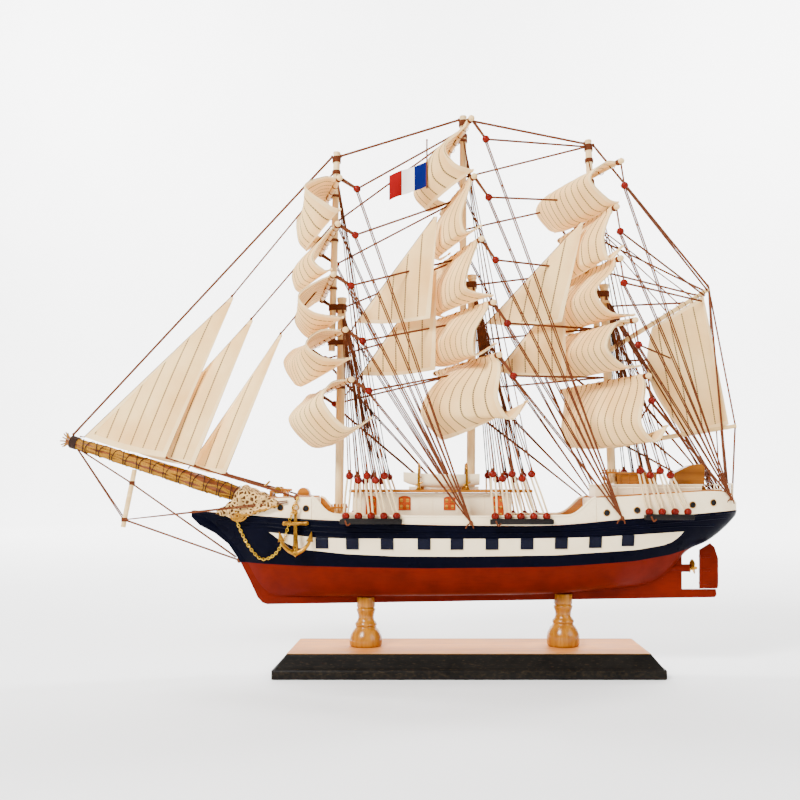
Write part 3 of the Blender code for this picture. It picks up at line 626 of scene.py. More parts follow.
class Form:
    """A mesh in the making, in millimetres, that becomes one piece of the model."""

    def __init__(self, name: str) -> None:
        """Start an empty form with the piece's name."""
        self.name = name
        self.shape = bmesh.new()
        self.uv = self.shape.loops.layers.uv.new("cloth")

    def face(self, corners: list, material: int = 0) -> bmesh.types.BMFace | None:
        """Add a face if its corners are different points.

        Args:
            corners: the vertices round it.
            material: the material's number.

        Returns:
            The face, or None where there is none.
        """
        unique = list(dict.fromkeys(corners))
        if len(unique) < 3:
            return None
        try:
            made = self.shape.faces.new(unique)
        except ValueError:
            return None
        made.material_index = material
        return made

    def rings(self, rings: list, material: int | Callable = 0) -> None:
        """Join rings of points with faces, and fill the first and the last.

        Args:
            rings: lists of the same number of points.
            material: the material's number, or a function that gives it from the band's number
                and the place round the ring.
        """
        look = material if callable(material) else lambda *_: material
        made = [[self.shape.verts.new(Vector(point) * MM) for point in ring] for ring in rings]
        count = len(made[0])
        for number, (low, high) in enumerate(zip(made, made[1:])):
            for here in range(count):
                there = (here + 1) % count
                self.face([low[here], low[there], high[there], high[here]], look(number, here))
        self.face(made[0][::-1], look(0, 0))
        self.face(made[-1], look(len(made) - 2, 0))

    def tube(
        self, points: list, radius: float | list, sides: int = 8, material: int = 0, smooth: int = 0
    ) -> None:
        """Add a round bar along a line.

        Args:
            points: the line's points.
            radius: one radius, or a few that are spread evenly along the line.
            sides: how many sides the bar has.
            material: the material's number.
            smooth: the number of steps of a smooth curve through the points, or 0 for straight runs.
        """
        path = curve_through(points, smooth) if smooth else [Vector(point) for point in points]
        last = len(path) - 1
        radii = self.spread(radius, len(path))
        rings = []
        side = None
        for number, point in enumerate(path):
            along = path[min(number + 1, last)] - path[max(number - 1, 0)]
            if along.length < 1e-6:
                along = Z_AXIS.copy()
            along.normalize()
            side = along.orthogonal().normalized() if side is None else side
            side = (side - along * side.dot(along)).normalized()
            rings.append(self.circle(point, side, along.cross(side), radii[number], sides))
        self.rings(rings, material)

    @staticmethod
    def circle(centre: Vector, side: Vector, up: Vector, radius: float, sides: int) -> list[Vector]:
        """Return the points of one ring of a bar.

        Args:
            centre: the ring's middle.
            side: the way to its first point.
            up: the way to the point a quarter of a turn on.
            radius: the ring's radius.
            sides: how many points it has.

        Returns:
            The points.
        """
        turns = [2 * math.pi * step / sides for step in range(sides)]
        return [centre + (side * math.cos(a) + up * math.sin(a)) * radius for a in turns]

    @staticmethod
    def spread(values: float | list, count: int) -> list[float]:
        """Spread values evenly along a line.

        Args:
            values: one value for the whole line, or a few from its start to its end.
            count: how many points the line has.

        Returns:
            One value for each point.
        """
        if not isinstance(values, list):
            return [values] * count
        table = [(number / (len(values) - 1), value) for number, value in enumerate(values)]
        return [between(table, number / max(count - 1, 1))[0] for number in range(count)]

    def turned(
        self, base: Point, profile: list, sides: int = 32, axis: Point = (0, 0, 1), material: int = 0
    ) -> None:
        """Add a turned shape.

        Args:
            base: where the profile's height is 0.
            profile: the radius and the height of each point along the outside.
            sides: how many sides it has.
            axis: the direction in which the height grows.
            material: the material's number.
        """
        along = Vector(axis).normalized()
        side = along.orthogonal().normalized()
        up = along.cross(side)
        base = Vector(base)
        rings = []
        for radius, height in profile:
            rings.append(self.circle(base + along * height, side, up, max(radius, 0.01), sides))
        self.rings(rings, material)

    def ball(
        self, centre: Point, radius: float, material: int = 0, squash: float = 1.0, sides: int = 16
    ) -> None:
        """Add a bead or knot.

        Args:
            centre: its middle.
            radius: its radius.
            material: the material's number.
            squash: its height as a share of its width.
            sides: how many sides it has.
        """
        turns = spaced(0.0, math.pi, sides // 2)
        profile = [(radius * math.sin(a), -radius * squash * math.cos(a)) for a in turns]
        self.turned(centre, profile, sides, material=material)

    def block(self, low: Point, high: Point, edge: float = 0.3) -> None:
        """Add a box with rounded edges.

        Args:
            low: its lowest corner.
            high: its highest corner.
            edge: how far the edges are rounded.
        """
        made = bmesh.ops.create_cube(self.shape, size=1.0)["verts"]
        size = [(b - a) * MM for a, b in zip(low, high)]
        centre = [(b + a) / 2 * MM for a, b in zip(low, high)]
        for vertex in made:
            vertex.co = Vector([centre[i] + vertex.co[i] * size[i] for i in range(3)])
        edges = list({line for vertex in made for line in vertex.link_edges})
        width = min(edge, *[part / MM / 2.1 for part in size])
        bmesh.ops.bevel(self.shape, geom=edges, offset=width * MM, segments=2, affect="EDGES", profile=0.6)

    def post(self, middle: Pair, half: Pair, low: float, high: float, edge: float = 0.2) -> None:
        """Add an upright block with rounded edges.

        Args:
            middle: where it stands, along the ship and across it.
            half: half its length and half its width.
            low: the height of its underside.
            high: the height of its top.
            edge: how far the edges are rounded.
        """
        (x, y), (half_x, half_y) = middle, half
        self.block((x - half_x, y - half_y, low), (x + half_x, y + half_y, high), edge)

    def slab(
        self, outline: list, low: float, high: float, edge: float = 0.3, material: int = 0, flat: str = "xz"
    ) -> None:
        """Add a flat plate with rounded edges.

        Args:
            outline: its corners in the plane that flat names.
            low: where its thickness starts on the third axis.
            high: where its thickness ends.
            edge: how far its edges are rounded.
            material: the material's number.
            flat: the outline's two axes, xz or xy.
        """
        centre = Vector([sum(part) / len(outline) for part in zip(*outline)])
        rings = []
        for level, inset in ((low, edge), (low + edge, 0.0), (high - edge, 0.0), (high, edge)):
            ring = []
            for corner in outline:
                inward = centre - Vector(corner)
                moved = Vector(corner) + inward.normalized() * min(inset, inward.length / 2)
                ring.append((moved.x, level, moved.y) if flat == "xz" else (moved.x, moved.y, level))
            rings.append(ring)
        self.rings(rings, material)

    def sheet(self, rows: list, thickness: float, places: list | None = None) -> None:
        """Add a thin closed sheet through a grid of points.

        Args:
            rows: rows of points.
            thickness: how thick it is.
            places: for each point its place on the flat cloth in millimetres, kept in the UV map.
        """
        last, end = len(rows) - 1, len(rows[0]) - 1
        front, back = [], []
        for made, sign in ((front, 0.5), (back, -0.5)):
            for i, row in enumerate(rows):
                line = []
                for j, point in enumerate(row):
                    down = Vector(rows[min(i + 1, last)][j]) - Vector(rows[max(i - 1, 0)][j])
                    right = Vector(row[min(j + 1, end)]) - Vector(row[max(j - 1, 0)])
                    normal = down.cross(right)
                    if normal.length > 1e-9:
                        normal.normalize()
                    line.append(self.shape.verts.new((Vector(point) + normal * thickness * sign) * MM))
                made.append(line)
        for i in range(last):
            for j in range(end):
                cells = [(i, j), (i, j + 1), (i + 1, j + 1), (i + 1, j)]
                self.cloth_face([front[a][b] for a, b in cells], cells, places)
                self.cloth_face([back[a][b] for a, b in cells[::-1]], cells[::-1], places)
        around = [(0, j) for j in range(end)] + [(i, end) for i in range(last)]
        around += [(last, j) for j in range(end, 0, -1)] + [(i, 0) for i in range(last, 0, -1)]
        for (i, j), (k, m) in zip(around, around[1:] + around[:1]):
            corners = [back[i][j], back[k][m], front[k][m], front[i][j]]
            self.cloth_face(corners, [(i, j), (k, m), (k, m), (i, j)], places)

    def cloth_face(self, corners: list, cells: list, places: list | None) -> None:
        """Add a face whose corners keep their places on the flat cloth.

        Args:
            corners: the vertices round it.
            cells: the row and column of each corner.
            places: the places on the flat cloth, or None.
        """
        made = self.face(corners)
        if made is None or places is None:
            return
        lookup = dict(zip(corners, cells))
        for corner in made.loops:
            i, j = lookup[corner.vert]
            corner[self.uv].uv = (places[i][j][0] / 100.0, places[i][j][1] / 100.0)

    def finish(
        self, *finishes: Finish, body: Body = Body.SHIP, replaces: tuple = (), sharp: float = 40.0
    ) -> bpy.types.Object:
        """Make the piece.

        Args:
            finishes: the finish of each material number.
            body: the body that the piece rides on.
            replaces: the names of the solids that the piece stands for.
            sharp: the angle in degrees above which an edge stays sharp.

        Returns:
            The piece.
        """
        bmesh.ops.remove_doubles(self.shape, verts=self.shape.verts, dist=1e-6)
        bmesh.ops.dissolve_degenerate(self.shape, edges=self.shape.edges, dist=1e-7)
        bmesh.ops.recalc_face_normals(self.shape, faces=self.shape.faces)
        mesh = bpy.data.meshes.new(self.name)
        self.shape.to_mesh(mesh)
        self.shape.free()
        mesh.shade_smooth()
        mesh.set_sharp_from_angle(angle=math.radians(sharp))
        for finish in finishes:
            mesh.materials.append(finish.material())
        piece = bpy.data.objects.new(self.name, mesh)
        bpy.context.scene.collection.objects.link(piece)
        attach(piece, body.value)
        if replaces:
            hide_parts(*replaces)
        LOG.info("%s: %d faces on %s", self.name, len(mesh.polygons), body.value)
        return piece


@dataclass
class HullLines:
    """The lines of the hull, which the decks and fittings follow too."""

    # Place along the ship, half breadth, height of the deck's edge, bottom, fullness of the section.
    sections: tuple = (
        (-205.0, 1.6, 118.7, 115.0, 0.9), (-187.8, 6.0, 117.0, 102.5, 0.9), (-167.0, 13.0, 115.4, 79.0, 0.85),
        (-155.0, 17.0, 114.7, 60.0, 0.75), (-144.4, 20.0, 114.1, 54.0, 0.62),
        (-121.7, 25.5, 112.8, 54.0, 0.45),
        (-92.4, 29.5, 111.5, 54.3, 0.33), (-49.2, 32.0, 109.2, 54.9, 0.25), (8.0, 33.0, 108.1, 55.8, 0.22),
        (61.7, 32.5, 108.5, 56.8, 0.25), (109.3, 30.5, 112.3, 60.0, 0.4), (125.0, 29.3, 113.4, 61.0, 0.57),
        (137.8, 28.0, 114.3, 64.0, 0.72), (150.0, 26.2, 115.2, 70.5, 0.78), (163.4, 24.0, 116.0, 87.5, 0.52),
        (180.1, 19.0, 117.3, 96.0, 0.46), (193.3, 12.5, 118.3, 106.5, 0.45), (200.5, 5.0, 118.9, 114.5, 0.45),
    )
    # Where the red underbody ends, and the lower and upper edge of the white band.
    waterline: tuple = (
        (-205.0, 84.0), (-169.0, 79.8), (-126.0, 78.4), (-86.0, 77.8), (-28.0, 77.2), (62.0, 78.4),
        (84.0, 79.5), (122.7, 81.9), (149.0, 86.1), (170.0, 92.0), (201.0, 104.0),
    )
    band_low: tuple = (
        (-145.0, 102.7), (-139.0, 98.0), (-130.0, 93.6), (-118.6, 90.3), (-88.7, 87.5), (-49.2, 85.9),
        (-6.0, 85.9), (62.0, 86.8), (122.7, 90.3), (143.0, 93.4), (150.0, 96.0),
        (154.5, 99.8), (156.8, 103.3),
    )
    band_high: tuple = (
        (-145.0, 102.8), (-110.3, 99.4), (-88.6, 98.8), (22.4, 98.8), (71.0, 99.4), (96.4, 100.1),
        (120.6, 101.4), (156.8, 103.4),
    )
    least: float = 1.2

    def breadth(self, x: float) -> float:
        """Return half the ship's breadth at the deck's edge."""
        return smooth_between(self.sections, x)[0]

    def deck(self, x: float) -> float:
        """Return the height of the deck's edge."""
        return smooth_between(self.sections, x)[1]

    def bottom(self, x: float) -> float:
        """Return the height of the hull's lowest point."""
        return smooth_between(self.sections, x)[2]

    def half(self, x: float, z: float) -> float:
        """Return the half breadth at a height.

        Args:
            x: the place along the ship.
            z: the height.

        Returns:
            The distance from the middle plane to the planking.
        """
        wide, top, bottom, power = smooth_between(self.sections, x)
        level = min(max((z - bottom) / (top - bottom), 0.0), 1.0)
        return max(self.least, wide * level**power)

    def heights(self, x: float) -> list[tuple[float, int]]:
        """Return the heights of a section's points, each with the paint that starts there.

        Args:
            x: the place along the ship.

        Returns:
            Heights from the bottom to the deck's edge, with the number of the paint above each.
        """
        bottom, top = self.bottom(x), self.deck(x)
        water = min(max(between(self.waterline, x)[0], bottom), top)
        low = min(max(between(self.band_low, x)[0], water), top)
        high = min(max(between(self.band_high, x)[0], low), top)
        if not self.band_low[0][0] < x < self.band_low[-1][0]:
            low = high
        rows = []
        for start, end, steps, power, paint in (
            (bottom, water, 14, 2.4, Hull.RED),
            (water, low, 4, 1.0, Hull.NAVY),
            (low, high, 4, 1.0, Hull.WHITE),
            (high, top, 5, 1.0, Hull.NAVY),
        ):
            rows += [(start + (end - start) * (step / steps) ** power, paint) for step in range(steps)]
        return rows + [(top, Hull.NAVY)]

    def planking(
        self, start: float, end: float, height: Callable, side: Side, out: float, step: float
    ) -> list[Point]:
        """Return a line along the planking.

        Args:
            start: where the line begins along the ship.
            end: where it ends.
            height: a function that gives its height from the place.
            side: the side of the ship.
            out: how far the line stands off the planking.
            step: about how far its points are apart.

        Returns:
            The line's points.
        """
        places = spaced(start, end, max(2, round((end - start) / step)))
        return [self.outside(x, height(x), side, out) for x in places]

    def outside(self, x: float, z: float, side: Side, out: float) -> Point:
        """Return a place off the planking.

        Args:
            x: the place along the ship.
            z: the height.
            side: the side of the ship.
            out: how far the place stands off the planking.

        Returns:
            The place.
        """
        return (x, side.value * (self.half(x, z) + out), z)

    def edge(self, places: list, height: Callable, side: Side, inset: float) -> list[Point]:
        """Return a line along the deck's edge.

        Args:
            places: its places along the ship.
            height: a function that gives its height from the place.
            side: the side of the ship.
            inset: how far the line stands inside the deck's edge.

        Returns:
            The line's points.
        """
        return [(x, side.value * (self.breadth(x) - inset), height(x)) for x in places]


@dataclass
class Plinth:
    """The block under the ship and the two turned pedestals."""

    length: float = 279.0
    width: float = 87.0
    height: float = 17.0
    lip: float = 7.0
    chamfer: float = 9.0
    corner: float = 1.2
    pedestals: tuple = (("pedestal_fore", -76.0), ("pedestal_aft", 71.8))
    slot_half: float = 2.3
    slot_deep: float = 4.4
    cheek: float = 6.1
    # Radius and height below the pedestal's top.
    profile: tuple = (
        (6.9, 0.0), (6.9, -7.4), (6.2, -8.1), (7.1, -9.2), (6.9, -10.5), (5.9, -14.0), (6.2, -17.0),
        (8.0, -19.8), (8.1, -21.2), (7.7, -22.4), (9.6, -25.0), (11.4, -28.4), (12.2, -31.6),
    )
    # Radius and height above the block.
    base: tuple = ((12.2, 2.2), (11.9, 0.9), (11.5, 0.3))

    def build(self, keel: Callable) -> None:
        """Build the block and the pedestals.

        Args:
            keel: a function that gives the height of the keel's underside.
        """
        self.build_block()
        for name, x in self.pedestals:
            self.build_pedestal(name, x, keel(x))

    def ring(self, inset: float, z: float) -> list[Point]:
        """Return the block's outline at a height, with its corners rounded.

        Args:
            inset: how far it lies inside the block's largest outline.
            z: the height.

        Returns:
            The outline's points.
        """
        half_x, half_y = self.length / 2 - inset - self.corner, self.width / 2 - inset - self.corner
        points = []
        for turn, sx, sy in ((0, 1, 1), (1, -1, 1), (2, -1, -1), (3, 1, -1)):
            for angle in spaced(math.pi / 2 * turn, math.pi / 2 * (turn + 1), 4):
                x, y = self.corner * math.cos(angle), self.corner * math.sin(angle)
                points.append((sx * half_x + x, sy * half_y + y, z))
        return points

    def build_block(self) -> None:
        """Build the black block with its lip and hollow chamfer and its varnished top."""
        form = Form("plinth_block")
        top, lip, edge = self.height, self.lip, self.chamfer
        levels = [(0.5, 0.0), (0.0, 0.5), (0.0, lip - 0.6), (0.6, lip), (1.4, lip + 0.1)]
        levels += list(zip(spaced(1.6, edge, 6), spaced(lip + 0.2, top - 0.7, 6)))
        levels += [(edge + 0.2, top - 0.25), (edge + 0.7, top), (edge + 1.5, top), (edge + 16.0, top)]
        looks = [0] * 12 + [1, 2, 2]
        form.rings([self.ring(*level) for level in levels], lambda band, _: looks[band])
        form.finish(PLINTH_BLACK, PLINTH_EDGE, PLINTH_TOP, replaces=("plinth",), sharp=50.0)

    def build_pedestal(self, name: str, x: float, keel: float) -> None:
        """Turn a pedestal up to the keel that it holds.

        Args:
            name: the solid that the pedestal stands for.
            x: its place along the ship.
            keel: the height of the keel's underside.
        """
        top, slot, cheek = keel + self.slot_deep, self.slot_half, self.cheek
        form = Form(name + "_turned")
        outside = [(radius, top + low) for radius, low in self.profile]
        outside += [(radius, self.height + rise) for radius, rise in self.base]
        smooth = [(point.x, point.y) for point in curve_through([(r, z, 0.0) for r, z in outside[2:]], 5)]
        rim = [(0.5, top - 4.0), (6.3, top - 4.0), (6.3, top), (6.75, top - 0.15), (6.9, top - 0.6)]
        form.turned((x, 0.0, 0.0), rim + [outside[1]] + smooth, 56)
        arc = [math.radians(angle) for angle in spaced(8.0, 172.0, 10)]
        for sign in (-1.0, 1.0):
            outline = [(x - cheek + 0.2, sign * slot), (x + cheek - 0.2, sign * slot)]
            outline += [(x + cheek * math.cos(a), sign * max(cheek * math.sin(a), slot)) for a in arc]
            form.slab(outline, top - 4.2, top - 0.1, 0.2, flat="xy")
        form.finish(TURNED, replaces=(name,), sharp=35.0)


@dataclass
class Hull:
    """The painted hull with its keel, stem, strakes and ports."""

    RED = 0
    NAVY = 1
    WHITE = 2
    DECK = 3
    lines: HullLines
    # Corners of the plate that makes the stem, keel and stern post.
    spine: tuple = (
        (-206.5, 118.4), (-206.5, 113.5), (-200.5, 107.5), (-189.0, 101.5), (-178.8, 93.3), (-169.8, 79.8),
        (-163.0, 66.3), (-157.0, 53.5), (-153.5, 49.6), (-150.0, 48.3), (185.0, 53.5), (186.2, 54.6),
        (186.5, 56.0), (186.0, 59.5), (160.5, 59.5), (160.5, 92.0), (120.0, 92.0), (-150.0, 92.0),
        (-172.0, 104.0),
        (-196.0, 114.0), (-204.0, 118.4),
    )
    spine_half: float = 2.0
    stem_waterline: float = 79.8
    shaft_height: float = 75.3
    stations: int = 150
    ports: tuple = (-105.9, -83.7, -58.6, -32.0, -8.4, 16.7, 41.8, 66.5, 91.3, 115.3)
    port_size: Pair = (9.3, 8.0)
    port_frame: float = 0.9

    def build(self) -> None:
        """Build the hull's pieces."""
        self.build_body()
        self.build_spine()
        for side in Side:
            name = side.name.lower()
            self.build_strakes(side, name)
            self.build_ports(side, name)

    def build_body(self) -> None:
        """Loft the planked body with its four colours."""
        form = Form("hull_body")
        rings, paints = [], []
        for x in spaced(self.lines.sections[0][0], self.lines.sections[-1][0], self.stations):
            rows = self.lines.heights(x)
            half = [(self.lines.half(x, z), z) for z, _ in rows]
            rings.append([(x, -y, z) for y, z in half[::-1]] + [(x, y, z) for y, z in half])
            paints = [paint for _, paint in rows]
        around = paints[-2::-1] + [Hull.RED] + paints[:-1] + [Hull.DECK]
        form.rings(rings, lambda _, here: around[here])
        form.finish(UNDERBODY, NAVY, CREAM, PLANKS, replaces=("hull",), sharp=55.0)
        LOG.info("hull body has %d stations of %d heights", self.stations, len(paints))

    def build_spine(self) -> None:
        """Cut the stem, keel and stern post from one plate, with the shaft's tube."""
        form = Form("keel_and_stem")
        half = self.spine_half
        outline = [Vector(corner) for corner in self.spine]
        rings = []
        for level, inset in ((-half, 0.5), (-half + 0.4, 0.0), (half - 0.4, 0.0), (half, 0.5)):
            ring = []
            for number, corner in enumerate(outline):
                before = (corner - outline[number - 1]).normalized()
                after = (outline[(number + 1) % len(outline)] - corner).normalized()
                way = before + after
                moved = corner + Vector((-way.y, way.x)).normalized() * inset
                ring.append((moved.x, level, moved.y))
            rings.append(ring)
        form.rings(rings)
        plane = Z_AXIS * self.stem_waterline * MM
        for normal in (Z_AXIS, X_AXIS):
            parts = form.shape.verts[:] + form.shape.edges[:] + form.shape.faces[:]
            bmesh.ops.bisect_plane(form.shape, geom=parts, plane_co=plane, plane_no=normal)
        for face in form.shape.faces:
            middle = face.calc_center_bounds()
            if middle.z > plane.z and middle.x < 0.0:
                face.material_index = Hull.NAVY
        bmesh.ops.triangulate(form.shape, faces=[face for face in form.shape.faces if len(face.verts) > 4])
        tube = [(112.0, 0.0, -0.5), (140.0, 0.0, -0.2), (166.2, 0.0, 0.0)]
        form.tube([(x, y, self.shaft_height + z) for x, y, z in tube], [1.2, 2.9, 3.0], 24)
        collar = [(0.0, 0.0), (2.2, 0.0), (2.2, 1.0), (1.0, 1.0)]
        form.turned((165.4, 0.0, self.shaft_height), collar, 24, X_AXIS)
        form.finish(UNDERBODY, NAVY)

    def build_strakes(self, side: Side, name: str) -> None:
        """Build the raised strakes and the moulding under the bulwark.

        Args:
            side: the side of the ship.
            name: the side's name.
        """
        lines = self.lines
        form = Form("strakes_" + name)
        for start, end, height, radius in (
            (-200.0, 198.0, lambda x: lines.deck(x) - 0.8, 0.75),
            (-186.0, 190.0, lambda x: lines.deck(x) - 4.6, 0.45),
            (-170.0, 181.0, lambda x: between(lines.band_high, x)[0] + 4.2, 0.5),
            (-146.0, 158.0, lambda x: between(lines.band_high, x)[0] + 0.7, 0.42),
        ):
            form.tube(lines.planking(start, end, height, side, -radius * 0.35, 5.0), radius)
        form.finish(NAVY)
        keel = Form("keel_line_" + name)
        keel.tube(lines.planking(-150.0, 158.0, lambda x: lines.bottom(x) + 0.2, side, 0.6, 6.0), 0.3, 6)
        keel.finish(UNDERBODY)

    def build_ports(self, side: Side, name: str) -> None:
        """Lay the square ports on the white band, each with a narrow frame.

        Args:
            side: the side of the ship.
            name: the side's name.
        """
        form = Form("gun_ports_" + name)
        width, height = self.port_size
        half, tall = width / 2 - self.port_frame, height / 2 - self.port_frame
        for centre in self.ports:
            top = between(self.lines.band_high, centre)[0] + 0.1
            places = spaced(centre - width / 2, centre + width / 2, 6)
            levels = spaced(top, top - height, 4)
            form.sheet([[self.lines.outside(x, z, side, 0.3) for x in places] for z in levels], 0.7)
            middle = top - height / 2
            corners = [(-1, -1), (1, -1), (1, 1), (-1, 1), (-1, -1)]
            frame = [(centre + sx * half, middle + sz * tall) for sx, sz in corners]
            form.tube([self.lines.outside(x, z, side, 0.65) for x, z in frame], 0.22, 6)
        form.finish(PORT_ENAMEL)


@dataclass
class Mast:
    """One mast: a lower mast with its cap and a topmast lashed ahead of it."""

    name: str
    base: Pair
    cap: Pair
    foot: Pair
    top: Pair
    lower_radius: float = 3.3
    upper_radius: float = 2.6
    cap_radius: float = 3.7

    def axis(self, z: float) -> tuple[float, float]:
        """Find the foremost spar at a height.

        Args:
            z: the height.

        Returns:
            Where the spar's axis stands along the ship, and the spar's radius.
        """
        if z > self.foot[1]:
            return self.place(self.foot, self.top, z), self.upper_radius
        return self.lower_x(z), self.lower_radius

    def lower_x(self, z: float) -> float:
        """Return where the lower mast's axis stands at a height."""
        return self.place(self.base, self.cap, z)

    @staticmethod
    def place(low: Pair, high: Pair, z: float) -> float:
        """Return where a spar between two places stands at a height."""
        return low[0] + (high[0] - low[0]) * (z - low[1]) / (high[1] - low[1])

    def build(self) -> None:
        """Build the spars, the caps, the lashings and the wraps."""
        form = Form(self.name + "_lower_spar")
        self.spar(form, self.base, self.cap, self.lower_radius, 14)
        form.turned(upright(self.base), [(4.2, 0.0), (4.4, 0.6), (4.2, 1.4), (3.3, 1.9)], 28)
        disc = self.cap_radius
        rim = [(2.0, 0.0), (disc - 0.3, 0.0), (disc, 0.3), (disc, 2.7), (disc - 0.4, 3.0), (2.0, 3.1)]
        form.turned(upright(self.cap) - Z_AXIS * 0.1, rim, 28)
        form.finish(MAST, replaces=(self.name + "_lower_mast",), sharp=35.0)
        top = Form(self.name + "_upper_spar")
        self.spar(top, self.foot, self.top, self.upper_radius, 12)
        button = [(2.5, -1.2), (2.75, -0.6), (2.75, 0.0), (2.2, 0.35), (1.0, 0.4)]
        top.turned(upright(self.top) - Z_AXIS * 0.4, button, 24)
        top.finish(MAST, replaces=(self.name + "_topmast",), sharp=35.0)
        self.build_wraps()
        self.build_bolsters()

    def spar(self, form: Form, low: Pair, high: Pair, radius: float, steps: int) -> None:
        """Add a spar that swells very slightly in its middle.

        Args:
            form: the form that it joins.
            low: its foot.
            high: its top.
            radius: its radius at the middle.
            steps: how many pieces it is cut into.
        """
        shares = spaced(0.0, 1.0, steps)
        points = [upright(low).lerp(upright(high), share) for share in shares]
        form.tube(points, [radius * (1.0 - 0.05 * abs(2 * share - 1)) for share in shares], 28)

    def build_wraps(self) -> None:
        """Wind dark thread round the doubling, the cap and the masthead."""
        form = Form(self.name + "_mast_wraps")
        foot, cap, top = self.foot[1], self.cap[1], self.top[1]
        for height, turns, doubled in (
            (foot + 4.0, 5, True), (cap - 7.0, 6, True), (top - 8.0, 6, False), (top - 17.0, 4, False),
        ):
            for number in range(turns):
                self.hoop(form, height + number * 0.75, doubled)
        form.finish(ROPE)

    def hoop(self, form: Form, z: float, doubled: bool) -> None:
        """Add one turn of thread round the foremost spar, or round two spars side by side.

        Args:
            form: the form that it joins.
            z: its height.
            doubled: whether it goes round the lower mast too.
        """
        spar = self.axis(z)
        points = []
        for step, angle in enumerate(spaced(0.0, 2 * math.pi, 24)):
            ahead = math.cos(angle)
            centre, size = (self.lower_x(z), self.lower_radius) if doubled and ahead > 0.0 else spar
            points.append((centre + ahead * (size + 0.3), math.sin(angle) * (size + 0.3), z + 0.03 * step))
        form.tube(points, 0.38, 6)

    def build_bolsters(self) -> None:
        """Add the wooden bolsters that the shrouds rest on below the cap."""
        form = Form(self.name + "_bolsters")
        z = self.cap[1] - 12.0
        for side in Side:
            middle = (self.lower_x(z), side.value * (self.lower_radius + 0.9))
            form.post(middle, (3.0, 1.0), z, z + 2.2, 0.5)
        form.finish(SPAR)


MASTS = {
    "fore": Mast("fore", (-96.5, 112.3), (-94.0, 275.0), (-101.7, 238.0), (-97.8, 387.0)),
    "main": Mast("main", (2.6, 134.4), (3.5, 292.0), (-3.2, 252.0), (-3.2, 414.0)),
    "mizzen": Mast("mizzen", (108.5, 138.3), (102.5, 285.0), (97.5, 248.0), (90.5, 396.0)),
}


